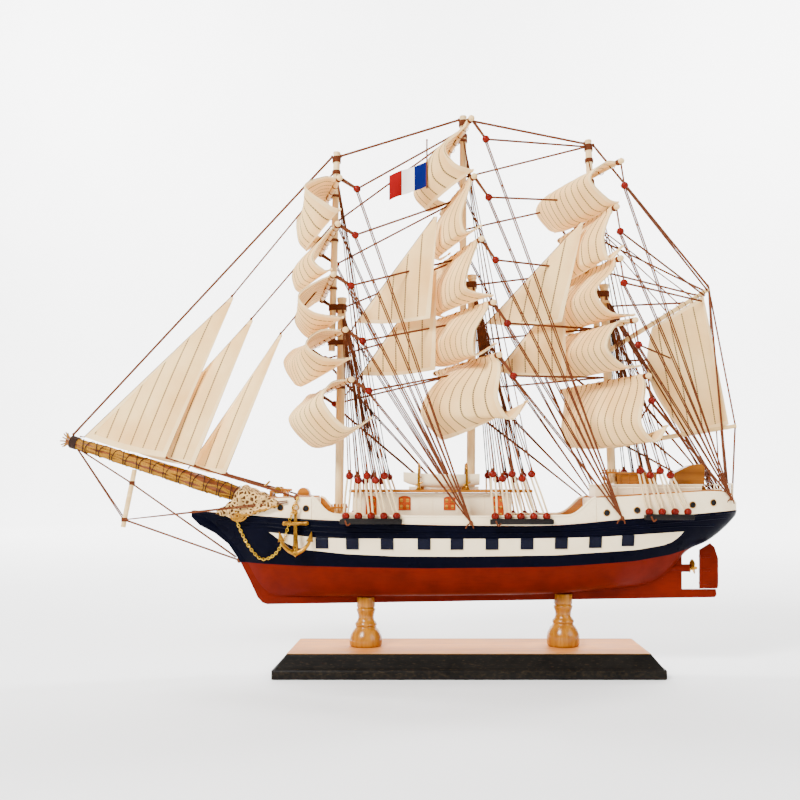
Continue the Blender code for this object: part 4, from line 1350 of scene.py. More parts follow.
@dataclass
class SquareSail:
    """A square sail, billowing from the yard that its head is glued round.

    edge and centre hold the curve from head to foot at the near edge and at the middle, as four
    points after the yard itself: how far ahead of the yard, and how far below it.
    """

    mast: Mast
    name: str
    height: float
    span: float
    brace: float
    edge: list
    centre: list
    yard_radius: float = 1.6
    overhang: float = 4.0
    far_share: float = 0.75
    gap: float = 0.4
    thickness: float = 0.5
    panel: float = 7.0
    rows: int = 40
    columns_per_panel: int = 6
    hem_width: float = 2.2

    def __post_init__(self) -> None:
        """Work out where the yard lies and which way it points."""
        x, self.mast_radius = self.mast.axis(self.height)
        turn = math.radians(self.brace)
        self.to_port = Vector((math.sin(turn), -math.cos(turn), 0.0))
        self.ahead = Vector((-math.cos(turn), -math.sin(turn), 0.0))
        self.mast_place = Vector((x, 0.0, self.height))
        self.middle = self.mast_place + self.ahead * (self.mast_radius + self.yard_radius + self.gap)
        self.label = f"{self.mast.name}_{self.name}"
        self.panels = round(2 * self.span / self.panel)
        self.clear = self.yard_radius + self.thickness / 2 + 0.1
        points = [[(0.0, 0.0, 0.0)] + [(a, b, 0.0) for a, b in curve] for curve in (self.edge, self.centre)]
        self.curves = [self.even(curve_through(curve, 24), self.rows * 2) for curve in points]

    @staticmethod
    def even(line: list, steps: int) -> list[Vector]:
        """Return the places on a line at even shares of its parameter."""
        return [line[round(step / steps * (len(line) - 1))] for step in range(steps + 1)]

    def curve(self, number: int, down: float) -> Vector:
        """Return a place on one of the two curves, with straight steps between its points.

        Args:
            number: 0 for the near edge's curve, 1 for the middle's.
            down: from 0 at the yard to 1 at the foot.

        Returns:
            How far ahead of the yard the place is, and how far below it.
        """
        line = self.curves[number]
        place = down * (len(line) - 1)
        low = min(int(place), len(line) - 2)
        return line[low].lerp(line[low + 1], place - low)

    def point(self, across: float, down: float) -> Vector:
        """Return a place on the cloth.

        Args:
            across: from -1 at the far edge to 1 at the near edge.
            down: from 0 at the yard to 1 at the foot.

        Returns:
            The place.
        """
        crown = 1.0 - across**2
        edge, centre = self.curve(0, down), self.curve(1, down)
        ahead = edge.x * (1.0 + (1.0 - self.far_share) * min(across, 0.0))
        forward = ahead + (centre.x - ahead) * crown
        lower = edge.y + (centre.y - edge.y) * crown
        return self.middle + self.to_port * (self.span * across) + self.ahead * forward - Z_AXIS * lower

    def hanging(self, across: float, down: float) -> Vector:
        """Return a place on the cloth, clear of the yard near its head."""
        return self.point(across, down) + self.ahead * (self.clear * max(0.0, 1.0 - down * 7.0))

    def build(self) -> None:
        """Build the cloth, its hems, its yard and the lashings."""
        cloth, drop = self.build_cloth()
        hem = self.build_hem()
        self.build_yard()
        self.build_lashings()

    def build_cloth(self) -> tuple[bpy.types.Object, float]:
        """Build the cloth from its panels, each with a raised seam.

        Returns:
            The piece, and the cloth's length from its head to its foot.
        """
        count = self.columns_per_panel
        ledger = [(number + step / count, step) for number in range(self.panels) for step in range(count)]
        ledger.append((self.panels, 0))
        wrap = self.rows // 8
        rows = []
        for number in range(-wrap, self.rows + 1):
            row = []
            for at, step in ledger:
                across = 2 * at / self.panels - 1
                if number < 0:
                    row.append(self.wrapped(across, -number / wrap))
                else:
                    row.append(self.pleated(across, number, step))
            rows.append(row)
        middle, quarter = len(ledger) // 2, len(ledger) // 4
        lengths = self.running_length([row[middle] for row in rows])
        places = [[(at * self.panel, length) for at, _ in ledger] for length in lengths]
        form = Form(self.label + "_cloth")
        form.sheet(rows, self.thickness, places)
        cloth = form.finish(CLOTH, replaces=(self.label,), sharp=60.0)
        return cloth, self.running_length([row[quarter] for row in rows])[-1]

    @staticmethod
    def running_length(line: list) -> list[float]:
        """Measure a line.

        Args:
            line: the line's points.

        Returns:
            For each point how far it is from the start, along the line.
        """
        lengths = [0.0]
        for here, there in zip(line, line[1:]):
            lengths.append(lengths[-1] + (there - here).length)
        return lengths

    def wrapped(self, across: float, share: float) -> Vector:
        """Return a place on the part of the head that is glued over the yard.

        Args:
            across: from -1 at the far edge to 1 at the near edge.
            share: from 0 where the cloth hangs down to 1 at its end behind the yard.

        Returns:
            The place.
        """
        angle = math.pi * 0.95 * share
        place = (self.ahead * math.cos(angle) + Z_AXIS * math.sin(angle)) * self.clear
        return self.middle + self.to_port * (self.span * across) + place

    def pleated(self, across: float, number: int, step: int) -> Vector:
        """Return a place on the hanging cloth, with its seams raised and soft folds between them.

        Args:
            across: from -1 at the far edge to 1 at the near edge.
            number: the place's row.
            step: the place's column within its panel; 0 is the seam.

        Returns:
            The place.
        """
        down = number / self.rows
        seam = 0.22 if step == 0 else 0.0
        soft = noise.noise(Vector((across * 5.0, down * 1.6, self.height)) * 1.3)
        tug = math.sin(across * 43.0 + self.height) * math.exp(-6.0 * down) * 0.35
        fold = (0.55 * soft + tug) * min(1.0, down * 5.0)
        return self.hanging(across, down) + self.ahead * (seam + fold)

    def build_hem(self) -> bpy.types.Object:
        """Fold a narrow hem over both side edges and the foot."""
        form = Form(self.label + "_hem")
        width = self.hem_width / self.span
        for sign in (-1.0, 1.0):
            across = [sign * (1.0 - width * share) for share in (0.0, 0.5, 1.0)]
            rows = [[self.hanging(at, down) for at in across] for down in spaced(0.0, 1.0, self.rows)]
            form.sheet(rows, self.thickness + 0.5)
        rows = [[self.hanging(at, down) for down in (1.0, 0.975, 0.95)] for at in spaced(-1.0, 1.0, 60)]
        form.sheet(rows, self.thickness + 0.5)
        for sign in (-1.0, 1.0):
            corner = self.point(sign, 1.0)
            reach = [corner - self.to_port * (sign * inward) for inward in (5.0, 2.0, -0.6)]
            form.tube(reach, [0.5, 1.0, 0.8], 10)
        return form.finish(HEM_CLOTH, sharp=50.0)

    def tip(self, side: Side, along: float = 1.0) -> Vector:
        """Return a place on the yard, where along is 1 at its end."""
        return self.middle - self.to_port * (side.value * (self.span + self.overhang) * along)

    def build_yard(self) -> None:
        """Build the yard and the knobs at its ends."""
        form = Form(self.label + "_yard")
        ends = [self.tip(side) for side in Side]
        shares = spaced(0.0, 1.0, 16)
        radii = [self.yard_radius * (0.86 + 0.14 * math.sin(math.pi * share)) for share in shares]
        radii[0] = radii[-1] = self.yard_radius * 0.8
        form.tube([ends[0].lerp(ends[1], share) for share in shares], radii, 18)
        form.finish(SPAR)
        knobs = Form(self.label + "_yard_knobs")
        for end in ends:
            knobs.ball(end, 2.3, squash=0.9)
        knobs.finish(KNOB)

    def build_lashings(self) -> None:
        """Wind the lashings at the yard's ends and along it, and its sling to the mast."""
        form = Form(self.label + "_lashings")
        around = self.yard_radius + self.thickness + 0.25
        for number in range(1, self.panels, 2):
            self.winding(form, 2 * number / self.panels - 1, around, 2, 0.24)
        for sign in (-1.0, 1.0):
            self.winding(form, sign * (1.0 + 1.2 / self.span), self.yard_radius + 0.2, 5, 0.42)
        for rise in (-0.7, 0.0, 0.7):
            self.sling(form, rise)
        form.finish(ROPE)

    def winding(self, form: Form, across: float, radius: float, turns: int, thread: float) -> None:
        """Wind thread round the yard.

        Args:
            form: the form that the thread joins.
            across: from -1 at the far edge of the cloth to 1 at the near edge.
            radius: the radius of a turn.
            turns: how many turns there are.
            thread: the thread's radius.
        """
        centre = self.middle + self.to_port * (self.span * across)
        points = []
        for step in range(turns * 12 + 1):
            angle = 2 * math.pi * step / 12
            along = self.to_port * (step / 12 - turns / 2) * thread * 1.7
            out = self.ahead * math.cos(angle) + Z_AXIS * math.sin(angle)
            points.append(centre + along + out * radius)
        form.tube(points, thread, 5)

    def sling(self, form: Form, rise: float) -> None:
        """Lash the yard to its mast with one turn round both.

        Args:
            form: the form that the thread joins.
            rise: its height above the yard's middle.
        """
        points = []
        for angle in spaced(0.0, 2 * math.pi, 20):
            back = math.cos(angle)
            centre, size = (self.middle, self.yard_radius + 0.6)
            if back > 0:
                centre, size = (self.mast_place, self.mast_radius + 0.35)
            out = self.to_port * math.sin(angle) * (self.mast_radius + 0.4)
            points.append(centre + Z_AXIS * rise - self.ahead * back * size + out)
        form.tube(points, 0.35, 6)


SAIL_NAMES = ("royal", "topgallant", "upper_topsail", "lower_topsail", "course")
SQUARE_SAILS = {
    "fore": [
        (353.8, 39.0, 16.0, [(10, -1), (24, 7), (6, 19), (-1, 21)], [(11, 3), (22, 18), (23, 34), (17, 41)]),
        (320.7, 41.0, 15.0, [(7, 6), (17, 23), (9, 32), (4, 31)], [(9, 6), (25, 22), (25, 35), (19, 39)]),
        (284.7, 43.0, 12.0, [(10, 4), (24, 15), (14, 26), (-7, 29)], [(11, 4), (23, 21), (14, 36), (5, 35)]),
        (245.8, 46.0, 22.5, [(17, 1), (27, 11), (14, 20), (-5, 19)], [(13, 3), (26, 17), (22, 32), (18, 35)]),
        (210.4, 50.0, 19.5, [(13, 2), (19, 15), (2, 33), (-15, 26)], [(13, 6), (32, 24), (16, 44), (2, 43)]),
    ],
    "main": [
        (395.2, 40.0, 12.1, [(6, 7), (18, 20), (11, 31), (-2, 35)], [(12, 6), (25, 20), (32, 40), (22, 52)]),
        (353.8, 42.0, 14.0, [(3, 9), (8, 26), (5, 38), (-6, 33)], [(7, 8), (17, 26), (18, 41), (13, 46)]),
        (309.3, 45.0, 19.0, [(4, 9), (9, 24), (9, 35), (-10, 38)], [(7, 8), (16, 25), (15, 40), (10, 43)]),
        (264.7, 49.0, 27.0, [(5, 8), (13, 22), (12, 37), (-4, 28)], [(8, 6), (18, 22), (14, 35), (6, 38)]),
        (227.3, 53.0, 23.0, [(-3, 9), (-1, 30), (-12, 44), (-24, 31)], [(11, 6), (26, 20), (32, 38), (17, 56)]),
    ],
    "mizzen": [
        (365.2, 42.0, 24.5, [(10, 1), (23, 14), (9, 26), (0, 28)], [(11, 2), (26, 15), (16, 32), (6, 34)]),
        (332.2, 43.0, 17.5, [(4, 7), (8, 22), (3, 36), (-7, 26)], [(7, 6), (16, 19), (16, 34), (11, 41)]),
        (295.7, 45.0, 17.5, [(5, 9), (17, 23), (6, 37), (-13, 38)], [(8, 8), (20, 25), (12, 40), (5, 40)]),
        (252.2, 49.0, 25.0, [(12, 2), (21, 19), (8, 31), (-7, 31)], [(12, 3), (23, 19), (12, 33), (4, 33)]),
        (212.8, 53.0, 24.0, [(0, 11), (3, 33), (-10, 45), (-19, 34)], [(7, 8), (17, 28), (11, 46), (2, 48)]),
    ],
}


def square_sails() -> list[SquareSail]:
    """Return the fifteen square sails, from the fore mast's highest to the mizzen's lowest."""
    sails = []
    for mast, rows in SQUARE_SAILS.items():
        sails += [SquareSail(MASTS[mast], name, *row) for name, row in zip(SAIL_NAMES, rows)]
    return sails


@dataclass
class FlatSail:
    """A three- or four-cornered sail between its corners, with its panels along the after edge."""

    name: str
    tack: Point
    head: Point
    clew: Point
    peak: Point | None = None
    rope_end: Point | None = None
    belly: float = 2.5
    hollow: float = 0.0
    thickness: float = 0.5
    panel: float = 10.0
    rows: int = 36
    columns: int = 40
    rope_radius: float = 0.6

    def point(self, along: float, up: float) -> Vector:
        """Return a place on the cloth.

        Args:
            along: from 0 at the fore edge to 1 at the after edge.
            up: from 0 at the foot to 1 at the head.

        Returns:
            The place.
        """
        tack, head, clew = Vector(self.tack), Vector(self.head), Vector(self.clew)
        peak = Vector(self.peak) if self.peak else head + (clew - tack).normalized() * 2.0
        place = tack.lerp(clew, along).lerp(head.lerp(peak, along), up)
        belly = self.belly * math.sin(math.pi * along) * math.sin(math.pi * up)
        hollow = self.hollow * (1.0 - along) * math.sin(math.pi * up)
        droop = 2.0 * math.sin(math.pi * along) * (1.0 - up) ** 3
        return place - Vector((hollow, belly, droop))

    def build(self) -> None:
        """Build the cloth with its hems, and the rope that it is hoisted on."""
        cloth, flat, area = self.build_cloth()
        hem = self.build_hem()
        if self.rope_end:
            rope = Form(self.name + "_luff_rope")
            rope.tube([self.rope_end, self.tack, self.head], self.rope_radius)
            rope.finish(ROPE)

    def build_cloth(self) -> tuple[bpy.types.Object, Pair, float]:
        """Build the cloth, and work out the size that it was cut to.

        Returns:
            The piece, the sides of the flat cloth in metres, and its area in square metres.
        """
        form = Form(self.name + "_cloth")
        clew = Vector(self.clew)
        rows, places = [], []
        for up in spaced(0.0, 1.0, self.rows):
            row, place = [], []
            for along in spaced(0.0, 1.0, self.columns):
                here = self.point(along, up)
                from_leech = (self.point(1.0, up) - here).length
                beat = from_leech / self.panel
                seam = 0.12 if abs(beat - round(beat)) < 0.06 else 0.0
                row.append(here - Y_AXIS * seam)
                place.append((from_leech, (here - clew).z))
            rows.append(row)
            places.append(place)
        area = 0.0
        for low, high in zip(rows, rows[1:]):
            for a, b, c, d in zip(low, low[1:], high[1:], high):
                area += (c - a).cross(d - b).length / 2 * MM * MM
        foot = max((clew - Vector(self.tack)).length, (rows[-1][-1] - rows[-1][0]).length) * MM
        drop = max((rows[-1][end] - rows[0][end]).length for end in (0, -1)) * MM
        form.sheet(rows, self.thickness, places)
        cloth = form.finish(STAY_CLOTH, replaces=(self.name,), sharp=60.0)
        return cloth, (foot, drop), min(max(area, 0.31 * foot * drop), foot * drop)

    def build_hem(self) -> bpy.types.Object:
        """Fold a hem over each edge."""
        form = Form(self.name + "_hem")
        wide = (self.point(1.0, 0.5) - self.point(0.0, 0.5)).length
        for across, edge in (
            (wide, lambda t, w: self.point(w, t)),
            (wide, lambda t, w: self.point(1.0 - w, t)),
            (60.0, lambda t, w: self.point(t, w)),
            (60.0, lambda t, w: self.point(t, 1.0 - w)),
        ):
            width = min(2.0 / max(across, 8.0), 0.2)
            rows = [[edge(t, width * part / 2) for part in range(3)] for t in spaced(0.0, 1.0, 30)]
            form.sheet(rows, self.thickness + 0.5)
        return form.finish(HEM_CLOTH, sharp=50.0)


@dataclass
class UpperWorks:
    """The bulwarks, the raised decks at both ends and their trim."""

    lines: HullLines
    wall: float = 1.6
    # Place along the ship and height of the bulwark's top.
    rail: tuple = (
        (-113.2, 128.6), (-111.0, 127.9), (-108.5, 124.8), (-104.0, 119.6), (-99.0, 116.4), (-88.0, 115.4),
        (-49.2, 114.6), (8.0, 114.4), (61.7, 115.0), (74.0, 115.6), (80.5, 119.6), (86.0, 125.0),
        (89.0, 127.6), (91.3, 128.2),
    )
    forecastle: tuple = ((-158.0, 127.0), (-144.4, 127.6), (-121.7, 128.6), (-113.5, 128.6))
    poop: tuple = (
        (91.6, 128.2), (109.3, 129.0), (125.0, 130.0), (137.8, 130.8), (150.0, 131.6), (163.4, 132.4),
        (180.1, 133.0), (193.3, 131.0), (200.0, 124.5),
    )
    # The after cabin's fore and after end, half its breadth, and its roof's height.
    cabin: tuple = (93.5, 172.0, 14.5, 138.0)
    taffrail: tuple = (
        (180.0, -17.5, 138.0), (190.0, -13.5, 138.5), (196.5, -6.5, 138.8), (198.0, 0.0, 139.0),
    )
    portholes: tuple = (
        (-117.3, 120.4), (-136.4, 120.9), (99.0, 117.4), (121.0, 119.2), (162.4, 123.0), (178.7, 124.6),
    )

    def build(self) -> None:
        """Build the white walls, both raised decks, their rails and the portholes."""
        for side in Side:
            self.build_bulwark(side)
            self.build_portholes(side)
        self.build_raised_deck("forecastle", self.forecastle)
        self.build_raised_deck("poop", self.poop)
        self.build_trim()

    def top(self, profile: tuple, rise: float = 0.0) -> Callable:
        """Return a function that gives a profile's height at a place, and so much more."""
        return lambda x: smooth_between(profile, x)[0] + rise

    def build_bulwark(self, side: Side) -> None:
        """Build a bulwark: painted outside, varnished inside, with a capping rail.

        Args:
            side: the side of the ship.
        """
        name = side.name.lower()
        form = Form("bulwark_wall_" + name)
        start, end = self.rail[0][0], self.rail[-1][0]
        rings = []
        for x in spaced(start, end, 90):
            low, high = self.lines.deck(x) + 0.3, smooth_between(self.rail, x)[0]
            out = self.lines.breadth(x)
            inner = out - self.wall
            ring = [(out, low), (out, high - 0.4), (out - 0.3, high)]
            ring += [(inner + 0.3, high), (inner, high - 0.4), (inner, low)]
            rings.append([(x, side.value * y, z) for y, z in ring])
        looks = [0, 0, 0, 1, 1, 1]
        form.rings(rings, lambda _, here: looks[here])
        form.tube(self.lines.edge(spaced(start, end, 70), self.top(self.rail, 0.1), side, 0.7), 1.05, 10)
        moulding = self.lines.edge(spaced(start, end, 40), lambda x: self.lines.deck(x) + 1.6, side, 0.0)
        form.tube(moulding, 0.35, 6)
        form.finish(CREAM, HONEY, replaces=("bulwark_" + name,), sharp=50.0)
        posts = Form("bulwark_stanchions_" + name)
        for x in spaced(-94.0, 74.0, 12):
            y = side.value * (self.lines.breadth(x) - self.wall - 0.5)
            posts.post((x, y), (0.6, 0.6), self.lines.deck(x), self.top(self.rail, -0.8)(x), 0.3)
        posts.finish(HONEY)

    def build_raised_deck(self, name: str, profile: tuple) -> None:
        """Build a raised deck: white sides that go on from the bulwark, and a planked top.

        Args:
            name: the solid that it stands for.
            profile: its top's height along the ship.
        """
        form = Form(name + "_shell")
        rings = []
        for x in spaced(profile[0][0], profile[-1][0], 60):
            low, high = self.lines.deck(x) + 0.3, smooth_between(profile, x)[0]
            out = self.lines.breadth(x)
            inner = max(out - 1.4, 0.4)
            half = [(out, low), (out, high - 0.5), (out - 0.35, high), (inner, high), (inner, high - 0.6)]
            rings.append([(x, -y, z) for y, z in half] + [(x, y, z) for y, z in half[::-1]])
        planked = 4
        form.rings(rings, lambda _, here: 1 if here == planked else 0)
        if name == "poop":
            start, end, half, top = self.cabin
            form.block((start, -half, 128.0), (end, half, top - 0.9), 0.5)
            form.block((start - 0.8, -half - 0.8, top - 1.1), (end + 0.8, half + 0.8, top), 0.4)
        form.finish(CREAM, PLANKS, replaces=(name,))

    def build_trim(self) -> None:
        """Add the varnished rails round the raised decks and the cabin's base."""
        form = Form("raised_deck_rails")
        for profile, start, end in ((self.forecastle, -157.0, -114.0), (self.poop, 92.0, 196.0)):
            for side in Side:
                form.tube(self.lines.edge(spaced(start, end, 40), self.top(profile, 0.3), side, 0.9), 0.7)
        start, end, half, _ = self.cabin
        corners = [(start, -half), (end, -half), (end, half), (start, half), (start, -half)]
        form.tube([(x, y * 1.02, self.top(self.poop, 0.3)(x)) for x, y in corners], 0.5)
        form.finish(HONEY)
        aft = Form("taffrail")
        line = list(self.taffrail) + [(x, -y, z) for x, y, z in self.taffrail[-2::-1]]
        for rise, radius in ((-4.0, 0.35), (-0.5, 0.5)):
            aft.tube([(x, y, z + rise) for x, y, z in line], radius, smooth=6)
        for x, y, z in curve_through(line, 2):
            aft.tube([(x, y, 125.0), (x, y, z - 0.5)], 0.4)
        aft.finish(CREAM)

    def build_portholes(self, side: Side) -> None:
        """Add the round ports, each a ring round a dark disc of painted shade.

        Args:
            side: the side of the ship.
        """
        form = Form("portholes_" + side.name.lower())
        for x, z in self.portholes:
            slope = (self.lines.breadth(x + 1.5) - self.lines.breadth(x - 1.5)) / 3.0
            place, axis = (x, side.value * self.lines.breadth(x), z), (-slope, side.value, 0.0)
            form.turned(place, [(2.1, -0.2), (2.1, 0.45), (2.3, 0.55), (2.55, 0.4), (2.6, -0.3)], 24, axis)
            # The dark disc inside the ring is painted shade for the port's hollow.
            form.turned(place, [(2.2, -0.2), (2.2, 0.25), (0.01, 0.3)], 24, axis, 1)
        form.finish(BRASS, PORT_SHADE)


@dataclass
class DeckHouse:
    """The long white house amidships, its windows and doors, and the roof board."""

    low: Point = (-84.0, -16.0, 111.9)
    high: Point = (32.0, 16.0, 131.6)
    roof_low: Point = (-87.0, -20.5, 131.9)
    roof_high: Point = (47.0, 20.5, 134.1)
    roof_planks: int = 11
    # Middle of each window or door, its width, its lowest and highest point, and its rows of panes.
    openings: tuple = (
        (-71.0, 8.0, 113.0, 129.6, 3), (-46.5, 9.0, 119.0, 129.4, 2), (-13.5, 8.6, 119.0, 129.0, 2),
        (22.0, 8.0, 113.0, 129.6, 3),
    )

    def build(self) -> None:
        """Build the house, its openings and its roof."""
        (start, _, bottom), (end, half, top) = self.low, self.high
        form = Form("deckhouse_walls")
        form.block(self.low, self.high, 0.4)
        for side in Side:
            y = side.value * half
            for number in range(13):
                form.post((start + 1.2 + number * 9.45, y), (0.35, 0.35), bottom, top, 0.15)
            for z in (bottom + 1.6, top - 1.0):
                form.block((start, y - 0.5, z - 0.6), (end, y + 0.5, z + 0.6))
        form.finish(CREAM, replaces=("deckhouse",))
        for side in Side:
            self.build_openings(side)
        self.build_roof()

    @staticmethod
    def arch(middle: float, half: float, low: float, spring: float, rise: float, steps: int) -> list[Pair]:
        """Return the outline of an opening with a rounded head.

        Args:
            middle: its middle along the ship.
            half: half its width.
            low: its lowest height.
            spring: the height where its head begins.
            rise: how far its head rises.
            steps: how many pieces its head is cut into.

        Returns:
            The outline's corners.
        """
        turns = spaced(0.0, math.pi, steps)
        head = [(middle + half * math.cos(a), spring + rise * math.sin(a)) for a in turns]
        return [(middle - half, low), (middle + half, low)] + head

    def build_openings(self, side: Side) -> None:
        """Build the orange windows and doors of one side, with a bar of painted shade across each pane's lower
        part.

        Args:
            side: the side of the ship.
        """
        form = Form("house_windows_" + side.name.lower())
        out = side.value
        y = out * self.high[1]
        for centre, width, low, high, rows in self.openings:
            half, tall = width / 2, high - low
            frame = self.arch(centre, half, low, high - 1.6, 1.6, 8)
            form.slab(frame, *sorted((y - 0.1 * out, y + 0.7 * out)), 0.25)
            wide, rise = half * 0.24, tall * 0.13 / (rows - 1)
            for column in (-0.5, 0.5):
                for row in range(rows):
                    x, z = centre + column * half, low + tall * (row + 0.58) / (rows + 0.25)
                    pane = self.arch(x, wide, z - rise, z + rise * 0.5, rise * 0.5, 4)
                    form.slab(pane, *sorted((y + 0.55 * out, y + 0.95 * out)), 0.1, 1)
                    # A dark brown bar across the lower part of each pane is painted shade.
                    pane_shade_bar = [(x + end, y + 0.95 * out, z - rise * 0.4) for end in (-wide, wide)]
                    form.tube(pane_shade_bar, 0.3, 6, 2)
            form.ball((centre + half * 0.1, y + out * 0.9, low + tall * 0.5), 0.4, 2, sides=10)
        form.finish(WINDOW_RED, PANE, BROWN)

    def build_roof(self) -> None:
        """Build the roof board with a rounded edge and planks on top."""
        form = Form("roof_board")
        form.block(self.roof_low, self.roof_high, 0.7)
        form.finish(HONEY, replaces=("deckhouse_roof",))
        planks = Form("roof_planks")
        (start, low, _), (end, high, top) = self.roof_low, self.roof_high
        edges = spaced(low + 1.5, high - 1.5, self.roof_planks)
        for near, far in zip(edges, edges[1:]):
            planks.block((start + 1.5, near + 0.1, top - 0.1), (end - 1.5, far - 0.1, top + 0.25), 0.12)
        planks.finish(HONEY)


@dataclass
class LifeBoat:
    """A white boat that stands on the roof board under a pair of davits."""

    side: Side
    bow: float = -47.5
    stern: float = 8.6
    centre: float = 12.0
    half: float = 6.8
    low: float = 134.4
    high: float = 147.0
    davits: tuple = (-36.0, -1.0)
    davit_post: float = 19.2

    def build(self) -> None:
        """Build the boat's shell, its thwarts and keel, the chocks and the davits."""
        name = "lifeboat_" + self.side.name.lower()
        y = self.side.value * self.centre
        form = Form(name + "_shell")
        sections = [self.section(share, y) for share in spaced(0.0, 1.0, 28)]
        outside = len(sections[0]) // 2
        form.rings(sections, lambda _, here: 0 if here < outside else 1)
        form.block((self.bow + 4.0, y - 0.6, self.low), (self.stern - 0.5, y + 0.6, self.low + 2.0))
        form.finish(CREAM, HONEY, replaces=(name,), sharp=50.0)
        self.build_fittings(name, y)

    def section(self, share: float, y: float) -> list[Point]:
        """Return the points round one section of the shell.

        Args:
            share: its place, from 0 at the bow to 1 at the stern.
            y: the boat's middle.

        Returns:
            The points, first along the outside and then back along the inside.
        """
        wide = self.half * min(1.0, math.sin(math.pi * min(share * 0.62 + 0.02, 0.5)) ** 0.75)
        wide *= 1.0 - 0.3 * max(0.0, share - 0.72) / 0.28
        keel = self.low + 1.2 + 4.5 * (1.0 - share) ** 7 + 2.0 * max(0.0, share - 0.8) / 0.2
        top = self.high - 2.2 + 2.2 * (1.0 - share) ** 2.5 + 0.9 * share**3
        outer = [
            (wide * math.cos(a), keel + (top - keel) * (1.0 - math.sin(a)) ** 0.9)
            for a in spaced(0.0, math.pi, 14)
        ]
        inner = [(out * 0.84, max(z + 0.9, keel + 4.6) if z < top - 0.5 else z) for out, z in outer[::-1]]
        x = self.bow + (self.stern - self.bow) * share
        return [(x, y + out, z) for out, z in outer + inner]

    def build_fittings(self, name: str, y: float) -> None:
        """Add the thwarts, the chocks, and the davits with their falls.

        Args:
            name: the boat's name.
            y: the boat's middle.
        """
        trim = Form(name + "_thwarts")
        for share in (0.22, 0.42, 0.62, 0.82):
            x = self.bow + (self.stern - self.bow) * share
            trim.post((x, y), (1.3, self.half * 0.8), self.high - 4.2, self.high - 3.4)
        for x in (self.bow + 14.0, self.stern - 12.0):
            trim.post((x, y), (1.2, 5.0), 134.2, 136.4, 0.3)
        trim.finish(HONEY)
        davits, falls = Form(name + "_davits"), Form(name + "_falls")
        out = self.side.value
        post = out * self.davit_post
        for x in self.davits:
            arm = [(x, post, 134.2), (x, post, 145.0), (x, post - out * 0.3, 150.0)]
            arm += [(x, post - out * 3.0, 153.0), (x, y + out * 1.5, 153.2), (x, y, 151.0)]
            davits.tube(arm, [1.1, 0.95, 0.8, 0.7, 0.6, 0.5], 12, smooth=6)
            davits.turned((x, post, 134.1), [(2.2, 0.0), (2.2, 0.5), (1.5, 1.2), (1.1, 2.4)], 16)
            davits.ball((x, y, 150.4), 1.0, sides=12)
            davits.tube([(x - 2.6, post, 137.0), (x + 2.6, post, 139.5)], 0.7, 10)
            for shift in (-0.4, 0.4):
                falls.tube([(x + shift, y, 150.2), (x + shift, y, self.high - 3.0)], 0.25, 6)
            reach = self.half + 0.2
            falls.tube([(x, y - reach, 143.0), (x, y, 147.6), (x, y + reach, 143.0)], 0.3, 6, smooth=6)
        davits.finish(BRASS)
        falls.finish(ROPE)


